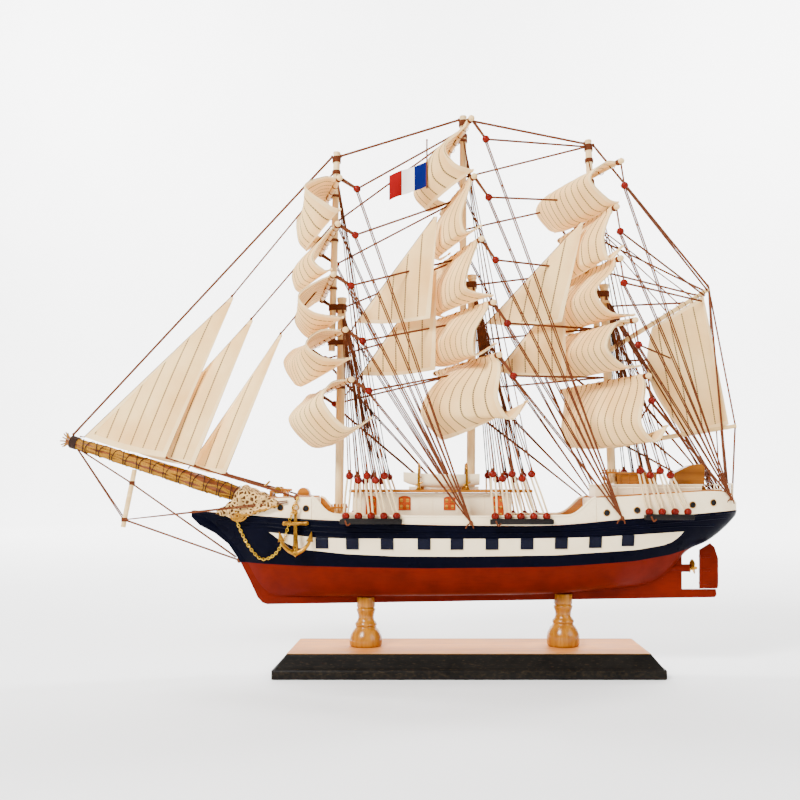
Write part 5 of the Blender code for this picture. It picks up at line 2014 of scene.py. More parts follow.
@dataclass
class DeckFittings:
    """What stands on the decks: windlass, hatches, fife rails, ladder, skylight and wheel box."""

    forecastle: float = 128.4
    waist: float = 109.2
    wheel: Point = (180.5, 0.0, 144.0)
    wheel_radius: float = 4.6

    def build(self) -> None:
        """Build the fittings from bow to stern."""
        self.build_windlass()
        self.build_hatches()
        self.build_after_deck()
        self.build_wheel()

    def build_windlass(self) -> None:
        """Build the windlass, the bitts and the hatch on the forecastle."""
        form = Form("forecastle_fittings")
        deck = self.forecastle
        form.block((-128.0, -6.5, deck), (-117.5, 6.5, deck + 2.0), 0.5)
        turns = spaced(0.0, math.pi, 12)
        hood = [(-127.0 + 4.5 * (1.0 - math.cos(a)), deck + 2.0 + 5.2 * math.sin(a)) for a in turns]
        form.slab(hood[::-1], -5.5, 5.5, 0.4)
        for x in (-146.0, -136.0):
            for side in Side:
                form.post((x, side.value * 6.0), (1.2, 1.2), deck - 1.5, deck + 5.0, 0.4)
            form.tube([(x, -9.0, deck + 2.8), (x, 9.0, deck + 2.8)], 0.9, 12)
        barrel = deck + 5.2
        form.tube([(-141.0, -7.5, barrel), (-141.0, 7.5, barrel)], [1.6, 2.2, 2.2, 1.6], 16)
        form.tube([(-150.0, -3.0, deck + 6.5), (-131.0, -3.0, deck + 5.4)], [0.9, 1.1, 0.9], 10)
        form.finish(HONEY)
        metal = Form("windlass_brass")
        drum = [(0.4, -0.8), (2.6, -0.8), (2.9, 0.0), (2.6, 0.8), (0.4, 0.8)]
        for side in Side:
            metal.turned((-141.0, side.value * 7.6, barrel), drum, 16, Y_AXIS)
        handle = [(-152.0, -3.0, deck + 7.6), (-149.0, -3.0, deck + 10.5), (-147.5, -3.0, deck + 12.0)]
        metal.tube(handle, 0.8)
        metal.finish(BRASS)

    def build_hatches(self) -> None:
        """Build the hatches and the ladder in the waist, and the fife rails round the masts."""
        form = Form("waist_fittings")
        deck = self.waist
        for low, high, half in ((50.0, 68.0, 9.0), (72.0, 84.0, 7.0)):
            form.block((low, -half, deck), (high, half, deck + 4.0), 0.6)
            for y in spaced(2.0 - half, half - 2.0, 3):
                form.block((low + 1.0, y - 0.7, deck + 3.8), (high - 1.0, y + 0.7, deck + 4.6), 0.2)
        pin = [(0.3, 0.0), (0.35, 3.6), (0.65, 4.0), (0.55, 5.4), (0.1, 6.0)]
        for x, z in ((-96.0, 112.0), (108.0, 138.0)):
            for side in Side:
                y = side.value * 7.0
                for shift in (-4.0, 4.0):
                    form.post((x + shift, y), (0.7, 0.7), z, z + 8.5)
                form.post((x, y), (6.0, 0.9), z + 8.0, z + 9.4, 0.3)
                for place in spaced(x - 4.6, x + 4.6, 4):
                    form.turned((place, y, z + 5.6), pin, 10)
        form.finish(HONEY)
        steps = Form("waist_ladder")
        for x, z in zip(spaced(86.5, 90.5, 5), spaced(110.5, 126.5, 5)):
            steps.block((x, -10.0, z), (x + 3.0, -3.0, z + 0.8), 0.2)
        steps.finish(BROWN)

    def build_after_deck(self) -> None:
        """Build the skylight bench on the cabin's roof and the cabin's white trim."""
        form = Form("skylight_bench")
        start, end, top = 111.5, 140.5, 138.0
        form.block((start, -7.5, top), (end, 7.5, top + 7.4), 0.5)
        form.block((start - 1.0, -8.5, top + 7.2), (end + 1.0, 8.5, top + 9.2), 0.5)
        for number in range(5):
            for side in Side:
                middle = (start + 2.0 + number * 6.2, side.value * 7.5)
                form.post(middle, (0.5, 0.5), top + 0.3, top + 7.3)
        form.finish(CABIN_WOOD)
        cabin = Form("cabin_trim")
        for side in Side:
            y = side.value * 14.6
            cabin.block((94.0, y - 0.35, 134.6), (171.5, y + 0.35, 135.4), 0.2)
            for x in spaced(98.0, 167.0, 6):
                cabin.post((x, y), (0.5, 0.35), 130.0, 137.0, 0.15)
        cabin.finish(CREAM)

    def build_wheel(self) -> None:
        """Build the slanted wheel box and the wheel behind it."""
        form = Form("wheel_box")
        outline = [
            (152.0, 136.0), (176.0, 136.0), (176.5, 152.5), (175.0, 153.5), (165.5, 152.3), (154.0, 146.5),
        ]
        form.slab(outline, -6.5, 6.5, 0.5)
        form.block((151.0, -7.2, 133.0), (177.0, 7.2, 136.4), 0.4)
        form.finish(CABIN_WOOD, sharp=35.0)
        wheel = Form("steering_wheel")
        centre, rim = Vector(self.wheel), self.wheel_radius
        wheel.tube(loop(centre, Y_AXIS * rim, Z_AXIS * rim, 24), 0.55)
        for spoke in loop(Vector(), Y_AXIS, Z_AXIS, 8)[:-1]:
            wheel.tube([centre, centre + spoke * rim, centre + spoke * (rim + 2.0)], [0.4, 0.4, 0.55])
        wheel.turned(centre - X_AXIS, [(1.3, 0.0), (1.5, 1.0), (1.3, 2.0)], 16, X_AXIS)
        wheel.tube([centre - X_AXIS * 5.0, centre], 0.5)
        wheel.finish(BROWN)


@dataclass
class Bowsprit:
    """The bowsprit with the golden netting furled round it, its striker and its stays."""

    chance: random.Random
    tip: Pair = (-299.0, 171.0)
    heel: Pair = (-160.5, 127.0)
    tip_radius: float = 4.2
    heel_radius: float = 6.6
    striker_top: Pair = (-249.5, 149.0)
    striker_foot: Pair = (-258.2, 106.0)

    def __post_init__(self) -> None:
        """Work out the spar's ends and directions."""
        self.start, self.end = upright(self.tip) - X_AXIS, upright(self.heel)
        self.length = (self.end - self.start).length
        self.along = (self.end - self.start).normalized()
        self.up = Y_AXIS.cross(self.along).normalized()
        self.side = self.along.cross(self.up)

    def radius(self, share: float, tip: float, heel: float) -> float:
        """Return a radius in proportion to the spar's own.

        Args:
            share: the place, from 0 at the tip to 1 at the heel.
            tip: the radius at the tip as a share of the spar's.
            heel: the radius at the heel as a share of the spar's.

        Returns:
            The radius.
        """
        low = self.tip_radius * tip
        return low + (self.heel_radius * heel - low) * share

    def out(self, angle: float) -> Vector:
        """Return the direction that points away from the spar at an angle."""
        return self.side * math.cos(angle) + self.up * math.sin(angle)

    def build(self) -> None:
        """Build the spar, the netting, the striker and the ropes under them."""
        form = Form("bowsprit_spar")
        shares = spaced(0.0, 1.0, 40)
        radii = []
        for share in shares:
            bundle = 1.0 + 0.08 * math.sin(share * 21.0) - 0.25 * max(0.0, share - 0.85) / 0.15
            radii.append(self.radius(share, 0.8, 0.86) * bundle)
        form.tube([self.start.lerp(self.end, share) for share in shares], radii, 28)
        form.finish(BROWN, replaces=("bowsprit",))
        self.build_netting()
        self.build_ties()
        self.build_rope_ends()
        self.build_striker()

    def build_netting(self) -> None:
        """Lay strands of golden netting along the spar."""
        form = Form("furled_netting")
        count = 22
        for number in range(count):
            wander = self.chance.uniform(-0.9, 0.9)
            points = []
            for share in spaced(0.0, 1.0, 26):
                angle = 2 * math.pi * number / count + wander * share * 2.5
                angle += 0.16 * math.sin(share * 31.0 + number * 1.7)
                wide = self.radius(share, 0.82, 0.9) * (1.0 - 0.25 * max(0.0, share - 0.85) / 0.15)
                wide += 0.25 * math.sin(share * 23.0 + number)
                reach = self.along * (self.length * (0.015 + 0.97 * share))
                points.append(self.start + reach + self.out(angle) * wide)
            form.tube(points, [0.45, 0.8, 0.95, 0.8, 0.5], 7, smooth=2)
        form.finish(GOLD_ROPE)

    def build_ties(self) -> None:
        """Tie the netting in with slanting turns of dark thread, and close ones at the tip."""
        form = Form("bowsprit_ties")
        for number in range(26):
            share = 0.05 + number * 0.036
            wide = self.radius(share, 1.0, 1.0) + 0.25
            lean = 1.76 * (-1) ** number
            points = []
            for angle in spaced(0.0, 2 * math.pi, 18):
                shift = self.along * (self.length * share + lean * math.cos(angle + 0.6))
                points.append(self.start + shift + self.out(angle) * wide)
            form.tube(points, 0.34, 5)
        wide = self.tip_radius + 0.35
        for reach in spaced(3.4, 7.9, 6):
            form.tube(loop(self.start + self.along * reach, self.side * wide, self.up * wide, 16), 0.42, 6)
        form.finish(DARK_AND_SHADED_ROPE)

    def build_rope_ends(self) -> None:
        """Let the strands' ends stick out at the tip, inside a few turns of thread."""
        form = Form("bowsprit_rope_ends")
        along = self.along
        for out in loop(Vector(), self.side, self.up, 11)[:-1]:
            reach = self.chance.uniform(1.6, 3.0)
            root = self.start + along * 1.5 + out * 2.4
            if root.x - reach < self.tip[0] - 7.0:
                reach = 1.5
            strand = [root, root - along * reach + out * 1.4, root - along * (reach + 1.6) + out * 3.4]
            form.tube(strand, [0.7, 0.6, 0.45], 7, smooth=3)
        for reach in spaced(1.6, 3.1, 3):
            form.turned(self.start + along * reach, [(2.6, -0.3), (3.3, 0.0), (2.6, 0.3)], 20, along)
        form.finish(GOLD_ROPE)

    def build_striker(self) -> None:
        """Build the striker and the stays that run from it to the stem and the spar's tip."""
        form = Form("striker_spar")
        top, foot = upright(self.striker_top), upright(self.striker_foot)
        form.tube([top.lerp(foot, share) for share in spaced(0.0, 1.0, 8)], [1.75, 1.9, 1.9, 1.8], 18)
        form.finish(SPAR, replaces=("dolphin_striker",))
        ropes = Form("bobstays")
        low, tip = foot + Vector((1.0, 0.0, 5.5)), upright(self.tip) + Vector((6.0, 0.0, -5.5))
        stem, higher = Vector((-172.0, 0.0, 81.5)), Vector((-251.5, -1.5, 139.0))
        for side in Side:
            shift = Y_AXIS * side.value * 2.0
            ropes.tube([tip + shift * 0.4, low + shift], 0.5, 7)
            ropes.tube([low + shift, stem + shift * 0.8], 0.5, 7)
            upper = [tip + shift * 0.6, higher + shift * 0.6, stem + shift + Vector((-1.5, 0.0, 2.0))]
            ropes.tube(upper, 0.45, 7)
            for z in (124.5, 125.9):
                ropes.tube([low + shift, (-131.0, side.value * 24.6, z)], 0.45, 7)
        for place, size in ((low, 2.1), (higher, 1.9)):
            for rise in spaced(-1.0, 1.1, 3):
                centre = upright((place.x, place.z + rise))
                ropes.tube(loop(centre, X_AXIS * size, Y_AXIS * size, 16), 0.4, 6)
        ropes.ball(stem + Vector((0.8, 0.0, -0.4)), 1.7, squash=1.3, sides=12)
        ropes.finish(ROPE)


@dataclass
class BowNetting:
    """The heap of netting over the heel of the bowsprit, with a coil of rope on each side."""

    lines: HullLines
    chance: random.Random
    # Along the ship: the heap's ridge and its foot.
    profile: tuple = (
        (-186.0, 118.5, 116.0), (-176.0, 125.0, 113.8), (-168.0, 136.0, 113.6), (-160.0, 134.5, 114.8),
        (-149.0, 130.0, 118.0), (-138.5, 126.5, 121.5),
    )
    columns: int = 44
    rows: int = 56
    coil: Pair = (-169.0, 114.6)

    def build(self) -> None:
        """Drape the netting over the bow and lay the coils on its sides."""
        form = Form("bow_netting")
        places = spaced(self.profile[0][0], self.profile[-1][0], self.columns)
        form.sheet([[self.fold(x, side) for x in places] for side in spaced(-1.0, 1.0, self.rows)], 1.1)
        form.finish(NETTING)
        coils = Form("bow_rope_coils")
        for side in Side:
            for number in range(4):
                coils.tube(self.turn(side, number), 0.6, 7)
            trail = []
            for step in range(9):
                x, z = -167.0 + 3.6 * step, 114.0 + 1.05 * step + 0.5 * math.sin(2.0 * step)
                trail.append((x, side.value * (self.lines.breadth(x) + 3.0), z))
            coils.tube(trail, 0.8, 7, smooth=3)
        coils.finish(GOLD_ROPE)

    def fold(self, x: float, side: float) -> Point:
        """Return a place on the netting.

        Args:
            x: the place along the ship.
            side: from -1 at the port foot to 1 at the starboard foot.

        Returns:
            The place.
        """
        ridge, foot = smooth_between(self.profile, x)
        reach = max(self.lines.breadth(x) + 2.2, 7.4) * min(1.0, abs(side) * 1.9) ** 0.8
        fold = 0.9 * math.sin(0.9 * x + 7.0 * side) + 0.7 * math.sin(0.37 * x - 11.0 * side)
        fold += self.chance.uniform(-0.45, 0.45)
        fall = 0.25 * abs(side) + 0.75 * max(0.0, abs(side) * 1.9 - 0.9)
        return (x, math.copysign(reach + max(0.0, fold), side), ridge - (ridge - foot) * fall + fold * 0.5)

    def turn(self, side: Side, number: int) -> list[Point]:
        """Return one turn of the coil.

        Args:
            side: the side of the ship.
            number: the turn's number, from the smallest.

        Returns:
            The turn's points.
        """
        size = 1.4 + 1.2 * number
        points = []
        for angle in spaced(0.0, 2 * math.pi, 14):
            x = self.coil[0] + size * math.cos(angle) * 1.3 + 0.7 * math.sin(3.0 * number)
            y = self.lines.breadth(x) + 3.2 - 0.3 * number + 0.6 * math.sin(2.0 * angle + number)
            points.append((x, side.value * y, self.coil[1] + size * 0.75 * math.sin(angle)))
        return points


@dataclass
class Rack:
    """A black board outside the bulwark with beads, lanyards and the shrouds above them."""

    name: str
    side: Side
    lines: HullLines
    board: Pair
    top: float
    low: Pair
    high: Pair
    upper_height: float
    count: int
    mast: Mast
    width: float = 6.5
    thickness: float = 3.6
    bead: float = 2.9
    inboard: float = 7.0

    def build(self) -> None:
        """Build the board, the beads, the lanyards and the shrouds."""
        label = f"{self.name}_rack_{self.side.name.lower()}"
        start, end = self.board
        inner = max(self.lines.breadth(x) for x in (start, end, (start + end) / 2)) + 0.4
        outer = inner + self.width
        out = self.side.value
        near, far = sorted((inner * out, outer * out))
        form = Form(label + "_board")
        form.block((start, near, self.top - self.thickness), (end, far, self.top), 0.5)
        form.block((start + 1.0, near + 0.8, self.top - 0.2), (end - 1.0, far - 0.8, self.top + 0.45), 0.2)
        form.finish(BLACK, replaces=(label,))
        parts = ("beads", "lanyards", "shrouds", "knots")
        beads, cords, shrouds, knots = (Form(f"{label}_{part}") for part in parts)
        lower = ((outer - self.bead) * out, self.top + self.bead * 0.75)
        for number, share in enumerate(spaced(0.0, 1.0, self.count - 1)):
            rise = 1.6 * (-1) ** number
            low = Vector((self.low[0] + (self.low[1] - self.low[0]) * share, *lower))
            upper = ((outer - self.inboard) * out, self.upper_height + rise)
            high = Vector((self.high[0] + (self.high[1] - self.high[0]) * share, *upper))
            for place in (low, high):
                beads.ball(place, self.bead, squash=0.94, sides=22)
            for spread in (-1.3, 1.3):
                shift = X_AXIS * spread
                cords.tube([low + shift, low.lerp(high, 0.5) + shift * 1.25, high + shift], 0.75, 7, smooth=5)
            cords.tube([low + Vector((0.0, -out * 2.6, -1.5)), low + Vector((0.0, out, -3.2))], 0.45, 6)
            self.add_shrouds(shrouds, knots, high, share)
        beads.finish(BEAD)
        cords.finish(PALE_ROPE)
        # The far starboard shrouds take the dark thread as painted shade; the near port shrouds take the
        # red-brown thread.
        shrouds.finish(DARK_AND_SHADED_ROPE if self.side is Side.STARBOARD else ROPE)
        corner = Vector((start, outer * out, self.top))
        tail = [corner + Vector(step) for step in ((4.0, 0.0, -1.0), (5.5, out, -4.4), (7.5, 0.0, -3.2))]
        knots.tube(tail, 0.6, 7, smooth=4)
        knots.finish(ROPE)

    def add_shrouds(self, shrouds: Form, knots: Form, bead: Vector, share: float) -> None:
        """Lead threads from a bead up to the cap, and from some beads to the masthead.

        Args:
            shrouds: the form that the threads join.
            knots: the form that the knots join.
            bead: the upper bead's middle.
            share: the bead's place in its row, from 0 to 1.
        """
        cap, top = self.mast.cap, self.mast.top
        out = self.side.value
        high = Vector((cap[0] + 1.0, out * 3.2, cap[1] - 6.0 - 3.0 * share))
        root = bead + Z_AXIS * self.bead * 0.6
        for spread in (-0.9, 0.9):
            shrouds.tube([root + X_AXIS * spread, high + X_AXIS * (spread * 0.4)], 0.45, 5)
        if share > 0.3:
            shrouds.tube([root, (top[0], out * 2.0, top[1] - 14.0 - 3.0 * share)], 0.42, 5)
        knots.ball(bead + Z_AXIS * (self.bead + 0.5), 0.85, squash=1.3, sides=10)


@dataclass
class Anchor:
    """An anchor of cast brass that hangs on its chain against the bow."""

    side: Side
    lines: HullLines
    x: float = -124.6
    foot: float = 86.0
    stock: float = 8.0
    link_spacing: float = 2.05
    # The chain's way over the ship's side.
    route: tuple = (
        (-171.0, 113.5), (-168.0, 104.0), (-161.5, 91.5), (-152.5, 83.0), (-143.0, 85.5), (-136.0, 94.0),
        (-131.8, 104.0), (-128.0, 116.0), (-123.5, 128.0),
    )

    def build(self) -> None:
        """Build the anchor and its chain."""
        name = self.side.name.lower()
        y = self.side.value * (self.lines.breadth(self.x + self.stock) + 1.5)
        base = Vector((self.x, y, self.foot))
        form = Form("anchor_casting_" + name)
        form.tube([base + Z_AXIS * rise for rise in (1.0, 8.0, 20.0, 31.0)], [2.4, 1.9, 1.5, 1.0], 16)
        form.turned(base, [(0.2, -0.6), (1.3, 0.6), (2.3, 2.6), (2.4, 4.4), (1.8, 5.8)], 16)
        for sign in (-1, 1):
            bend = ((0.0, 1.8), (5.4, 4.6), (9.2, 8.8), (10.6, 13.0))
            arm = [base + Vector((sign * x, 0.0, z)) for x, z in bend]
            form.tube(arm, [1.9, 1.6, 1.3, 0.9], 12, smooth=5)
            fluke = [(base.x + sign * x, base.z + z) for x, z in ((7.6, 10.8), (12.6, 10.2), (11.8, 18.4))]
            form.slab(fluke[::sign], y - 1.3, y + 1.3, 0.5)
        bar = [base + Vector((x, 0.0, 23.6)) for x in (-self.stock, -6.0, 6.0, self.stock)]
        form.tube(bar, [1.7, 1.45, 1.45, 1.7], 14)
        for end in (bar[0], bar[-1]):
            form.ball(end, 1.75, sides=14)
        form.ball(base + Z_AXIS * 31.6, 1.7)
        form.tube(loop(base + Z_AXIS * 35.2, X_AXIS * 2.3, Z_AXIS * 2.3, 16), 0.55)
        form.finish(BRASS, replaces=("anchor_" + name,))
        self.build_chain(name)

    def build_chain(self, name: str) -> None:
        """Hang the chain in a loop from the bow to the cathead, link by link.

        Args:
            name: the side's name.
        """
        form = Form("anchor_chain_" + name)
        route = [self.lines.outside(x, z, self.side, 1.3) for x, z in self.route]
        path = curve_through(route, 30)
        travelled, number = 0.0, 0
        for here, there in zip(path, path[1:]):
            travelled += (there - here).length
            if travelled >= self.link_spacing:
                travelled -= self.link_spacing
                along = (there - here).normalized()
                wide = Y_AXIS if number % 2 else along.cross(Y_AXIS).normalized()
                form.tube(loop(there, along * 1.5, wide * 0.95, 12), 0.29, 6)
                number += 1
        for end in (route[0], route[-1]):
            form.ball(end, 1.3, sides=14)
        form.finish(CHAIN_BRASS)
        LOG.info("anchor chain %s: %d links", name, number)


# For each mast: how far a bead hangs aft of its yard's end and below it, the next mast and the
# heights on it that the threads lead to, and the knot on the ship's side below.
BRACES = {
    "fore": ((12.5, 7.7), "main", (402.0, 351.6, 307.0, 259.0, 222.0), (1.6, 110.2)),
    "main": ((10.5, 14.5), "mizzen", (391.0, 350.0, 298.0, 254.5, 218.0), (110.0, 113.6)),
    "mizzen": ((3.0, 17.0), None, (283.0, 279.0, 275.0, 232.0, 178.0), (194.0, 127.5)),
}


@dataclass
class Braces:
    """The beads at the yards' ends, their short ties and the long threads that they hold."""

    lines: HullLines
    sails: list
    bead: float = 2.7

    def build(self) -> None:
        """Build the beads and threads of each mast on both sides."""
        for side in Side:
            for mast in MASTS:
                self.build_side(side, mast)

    def build_side(self, side: Side, mast: str) -> None:
        """Build one mast's beads and threads on one side.

        Args:
            side: the side of the ship.
            mast: the mast's name.
        """
        label = f"{mast}_{side.name.lower()}"
        (aft, below), next_mast, heights, knot_place = BRACES[mast]
        beads, braces = Form("brace_beads_" + label), Form("braces_" + label)
        knot = Vector(self.lines.outside(*knot_place, side, 1.4))
        sails = [sail for sail in self.sails if sail.mast.name == mast]
        for number, (sail, height) in enumerate(zip(sails, heights)):
            tip = sail.tip(side, 0.97)
            place = tip + Vector((aft, side.value * 0.5, -below))
            beads.ball(place, self.bead, squash=0.95, sides=22)
            for spread in (-0.9, 0.0, 0.9):
                start = tip + Vector((0.4, 0.0, spread * 1.3))
                braces.tube([start, place + Z_AXIS * (spread * 0.8)], 0.5, 5)
            braces.tube([place, self.lead(next_mast, height, side)], 0.72, 6)
            for spread in (-0.6, 0.6):
                middle = place.lerp(knot, 0.5) + X_AXIS * (spread * 1.2)
                braces.tube([place + Vector((spread, 0.0, -1.5)), middle, knot], 0.52, 5)
            for share in (0.12 + 0.04 * number, 0.8 + 0.03 * number):
                braces.ball(place.lerp(knot, share), 0.75, squash=1.4, sides=10)
        braces.ball(knot, 1.5, squash=1.2, sides=12)
        for lean in (-2.6, 1.2):
            way = [(0.0, 0.0, 0.0), (lean, side.value * 0.5, -1.5), (lean * 1.5, side.value * 0.3, -4.0)]
            braces.tube([knot + Vector(step) for step in way], [0.6, 0.55, 0.4], 6, smooth=3)
        beads.finish(BEAD)
        braces.finish(ROPE)

    def lead(self, mast: str | None, height: float, side: Side) -> Vector:
        """Return where a thread ends: at the front of the next mast, or along the gaff.

        Args:
            mast: the next mast's name, or None.
            height: the height of the thread's end.
            side: the side that the thread comes from.

        Returns:
            The thread's end.
        """
        if mast is None:
            return Vector((120.0 + 60.0 * (height - 170.0) / 114.0, side.value * 2.0, height))
        x, radius = MASTS[mast].axis(height)
        return Vector((x - radius - 0.3, side.value * 0.8, height))


STAYS = {
    "fore_stay": ((-295.4, 175.4), (-101.4, 383.4)),
    "fore_main_stay": ((-94.7, 384.2), (-6.4, 411.2)),
    "main_mizzen_stay": ((0.0, 411.2), (87.4, 393.6)),
    "back_stay": ((94.3, 392.4), (180.2, 286.9)),
}


@dataclass
class StandingRigging:
    """The stays between the mastheads and the other threads along the middle of the ship."""

    jibs: list
    radius: float = 0.85
    halyard_heights: Point = (371.0, 332.0, 295.0)
    sheet_end: Point = (-124.5, 25.6, 128.6)

    def build(self) -> None:
        """Build the stays, the jibs' halyards and sheets, and the threads at the stern."""
        for name, places in STAYS.items():
            form = Form(name + "_thread")
            ends = [upright(place) for place in places]
            form.tube(ends, self.radius, 10)
            for end in ends:
                form.ball(end, 1.1, squash=1.2, sides=12)
            form.finish(ROPE, replaces=(name,))
        self.build_halyards()
        self.build_stern_threads()

    def build_halyards(self) -> None:
        """Lead the jibs' heads to the fore mast and their clews to the forecastle."""
        form = Form("jib_halyards_and_sheets")
        x, y, z = self.sheet_end
        for jib, height in zip(self.jibs, self.halyard_heights):
            head, clew = Vector(jib.head), Vector(jib.clew)
            mast_x, radius = MASTS["fore"].axis(height)
            form.tube([head, (mast_x - radius, 0.0, height)], 0.65, 6)
            form.ball(head + Vector((0.6, 0.0, 0.8)), 1.0, squash=1.3, sides=10)
            for side in Side:
                form.tube([clew, (x, side.value * y, z)], 0.6, 6)
            form.ball(clew + X_AXIS, 1.0, squash=1.1, sides=10)
        for side in Side:
            form.ball((x, side.value * (y + 0.2), z - 0.2), 1.9, squash=1.2, sides=12)
        form.finish(ROPE)

    def build_stern_threads(self) -> None:
        """Lead threads from the gaff, the boom and the mizzen top down to the stern."""
        form = Form("stern_threads")
        for y in (-9.0, -3.0, 3.0, 9.0):
            end = Vector((197.0 - abs(y) * 0.5, y, 127.5))
            form.tube([(181.0, y * 0.1, 286.0), end], 0.55, 5)
            form.tube([(102.5, y * 0.3, 280.0), end + Vector((-3.0, y * 0.3, 0.0))], 0.55, 5)
        for high, low, radius, sides in (
            ((180.8, 286.5), (200.8, 183.0), 0.65, 6),
            ((200.8, 181.0), (198.6, 127.0), 0.7, 6),
            ((96.0, 330.0), (154.0, 262.0), 0.5, 5),
            ((97.5, 330.0), (164.0, 268.0), 0.5, 5),
            ((99.0, 330.0), (174.0, 274.0), 0.5, 5),
        ):
            form.tube([upright(high), upright(low)], radius, sides)
        form.finish(ROPE)


@dataclass
class Spanker:
    """The gaff, the boom, and the sail between them."""

    gaff: tuple = ((109.1, 240.0), (180.5, 284.0))
    boom: tuple = ((111.3, 167.0), (201.5, 181.8))

    def build(self, sail: FlatSail) -> None:
        """Build the spars, the sail and the turns of thread that hold it.

        Args:
            sail: the sail between the spars.
        """
        for name, ends in (("gaff", self.gaff), ("boom", self.boom)):
            form = Form(name + "_spar")
            first, last = (upright(end) for end in ends)
            path = [first.lerp(last, share) for share in spaced(0.0, 1.0, 12)]
            form.tube(path, [1.85, 1.9, 1.75, 1.5], 20)
            form.ball(first + (first - last).normalized() * 0.6, 2.1)
            form.finish(SPAR, replaces=(name,))
        sail.build()
        ties = Form("gaff_lacing")
        first, last = (upright(end) for end in self.gaff)
        up = Y_AXIS.cross((last - first).normalized())
        for number in range(9):
            ties.tube(loop(first.lerp(last, 0.42 + number * 0.066), Y_AXIS * 2.5, up * 2.5, 14), 0.26, 5)
        ties.finish(ROPE)


@dataclass
class Flag:
    """The flag with three upright stripes, on its staff against the main royal."""

    place: Pair = (-30.0, -28.0)
    length: float = 27.1
    height: float = 17.6
    foot: float = 1.8
    slope: float = 0.384
    low: float = 351.0
    high: float = 386.0
    thickness: float = 0.5

    def build(self) -> None:
        """Build the staff and the waving cloth."""
        x, y = self.place
        staff = Form("flag_staff")
        staff.tube([(x, y, self.low), (x, y, self.high)], 0.6, 12)
        staff.ball((x, y, self.high - 0.3), 0.8, sides=12)
        staff.finish(ROPE)
        cloth = Form("flag_cloth")
        rows, places = [], []
        for up in spaced(1.0, 0.0, 12):
            row, spots = [], []
            for along in spaced(0.0, 1.0, 36):
                fly = self.length * along
                wave = 1.2 * math.sin(6.0 * along) + 0.4 * math.sin(13.0 * along + 2.0 * up)
                row.append((x - fly, y + wave, self.low + self.foot + self.height * up - fly * self.slope))
                spots.append((fly, self.height * up))
            rows.append(row)
            places.append(spots)
        cloth.sheet(rows, self.thickness, places)
        for face in cloth.shape.faces:
            share = (x * MM - face.calc_center_median().x) / (self.length * MM)
            face.material_index = min(2, max(0, int(share * 3)))
        piece = cloth.finish(*FLAG_COLOURS, replaces=("flag",))


@dataclass
class SternGear:
    """The rudder on its post and the propeller on its shaft."""

    thickness: float = 3.0
    outline: tuple = (
        (173.9, 60.0), (187.3, 60.0), (188.0, 62.0), (188.0, 82.5), (185.2, 91.0),
        (182.0, 94.0), (173.9, 89.0),
    )
    hub: Point = (168.6, 0.0, 75.3)
    hub_profile: tuple = ((0.3, -2.1), (1.4, -2.0), (1.5, 0.0), (1.45, 2.0), (0.9, 3.6), (0.2, 4.0))
    blade_radius: float = 6.7
    blades: int = 3

    def build(self) -> None:
        """Build the rudder with its straps, and the propeller."""
        rudder = Form("rudder_blade")
        half = self.thickness / 2
        rudder.slab(list(self.outline), -half, half, 0.7)
        for z in (64.0, 74.0, 84.0):
            rudder.block((173.95, -half - 0.35, z - 0.9), (182.0, half + 0.35, z + 0.9))
        rudder.finish(UNDERBODY, body=Body.RUDDER, replaces=("rudder",))
        screw = Form("propeller_casting")
        screw.turned(self.hub, self.hub_profile, 24, X_AXIS)
        for out in loop(Vector(), Z_AXIS, -Y_AXIS, self.blades)[:-1]:
            self.add_blade(screw, out)
        screw.finish(BRASS, body=Body.PROPELLER, replaces=("propeller",))

    def add_blade(self, form: Form, out: Vector) -> None:
        """Add one twisted blade.

        Args:
            form: the form that it joins.
            out: the way the blade points.
        """
        round_way = X_AXIS.cross(out)
        rows = []
        for share in spaced(0.0, 1.0, 10):
            reach = 1.0 + (self.blade_radius - 1.0) * share
            wide = 2.35 * math.sin(math.pi * (0.16 + 0.84 * share) ** 0.9) ** 0.6 if share < 1.0 else 0.15
            pitch = math.radians(52.0 - 26.0 * share)
            chord = (round_way * math.cos(pitch) + X_AXIS * math.sin(pitch)) * wide
            rows.append([Vector(self.hub) + out * reach + chord * (part / 3 - 1.0) for part in range(7)])
        form.sheet(rows, 0.7)


# The fore corner, the head, the after corner and the end of the rope of each staysail.
STAYSAILS = {
    "flying_jib": ((-287.0, 0.0, 173.5), (-177.0, -1.0, 278.0), (-223.0, -12.0, 157.5), (-290.5, 0.0, 173.9)),
    "outer_jib": ((-252.0, 0.0, 163.3), (-162.5, -1.0, 261.0), (-202.0, -12.0, 151.5), (-254.5, 0.0, 163.1)),
    "inner_jib": ((-208.0, 0.0, 151.5), (-140.5, -1.0, 250.0), (-178.5, -12.0, 146.0), (-209.5, 0.0, 149.8)),
    "main_staysail_upper": (
        (-82.5, -8.0, 257.8), (-24.5, -26.0, 331.0),
        (-27.5, -25.0, 258.0), (-90.1, -1.0, 248.0),
    ),
    "main_staysail_lower": (
        (-80.0, -2.0, 219.5), (-25.0, -16.0, 294.0),
        (-24.0, -16.0, 222.0), (-90.8, -1.0, 205.0),
    ),
    "mizzen_staysail_upper": (
        (14.0, -8.0, 257.0), (81.0, -25.0, 327.0),
        (67.7, -25.0, 255.3), (7.6, -1.0, 250.5),
    ),
    "mizzen_staysail_lower": (
        (22.0, -2.0, 222.0), (69.0, -16.0, 279.0),
        (71.8, -16.0, 218.0), (7.3, -1.0, 200.0),
    ),
}

# Board, its top, the lower and the upper beads along the ship, the upper beads' height, and how many.
RACKS = {
    "fore": ((-91.8, -47.6), 113.1, (-87.7, -51.4), (-85.3, -60.4), 142.3, 5),
    "main": ((15.0, 60.2), 112.9, (18.6, 55.2), (17.1, 44.9), 143.6, 5),
    "mizzen": ((125.8, 160.8), 116.0, (128.9, 156.6), (123.2, 144.9), 146.0, 4),
}


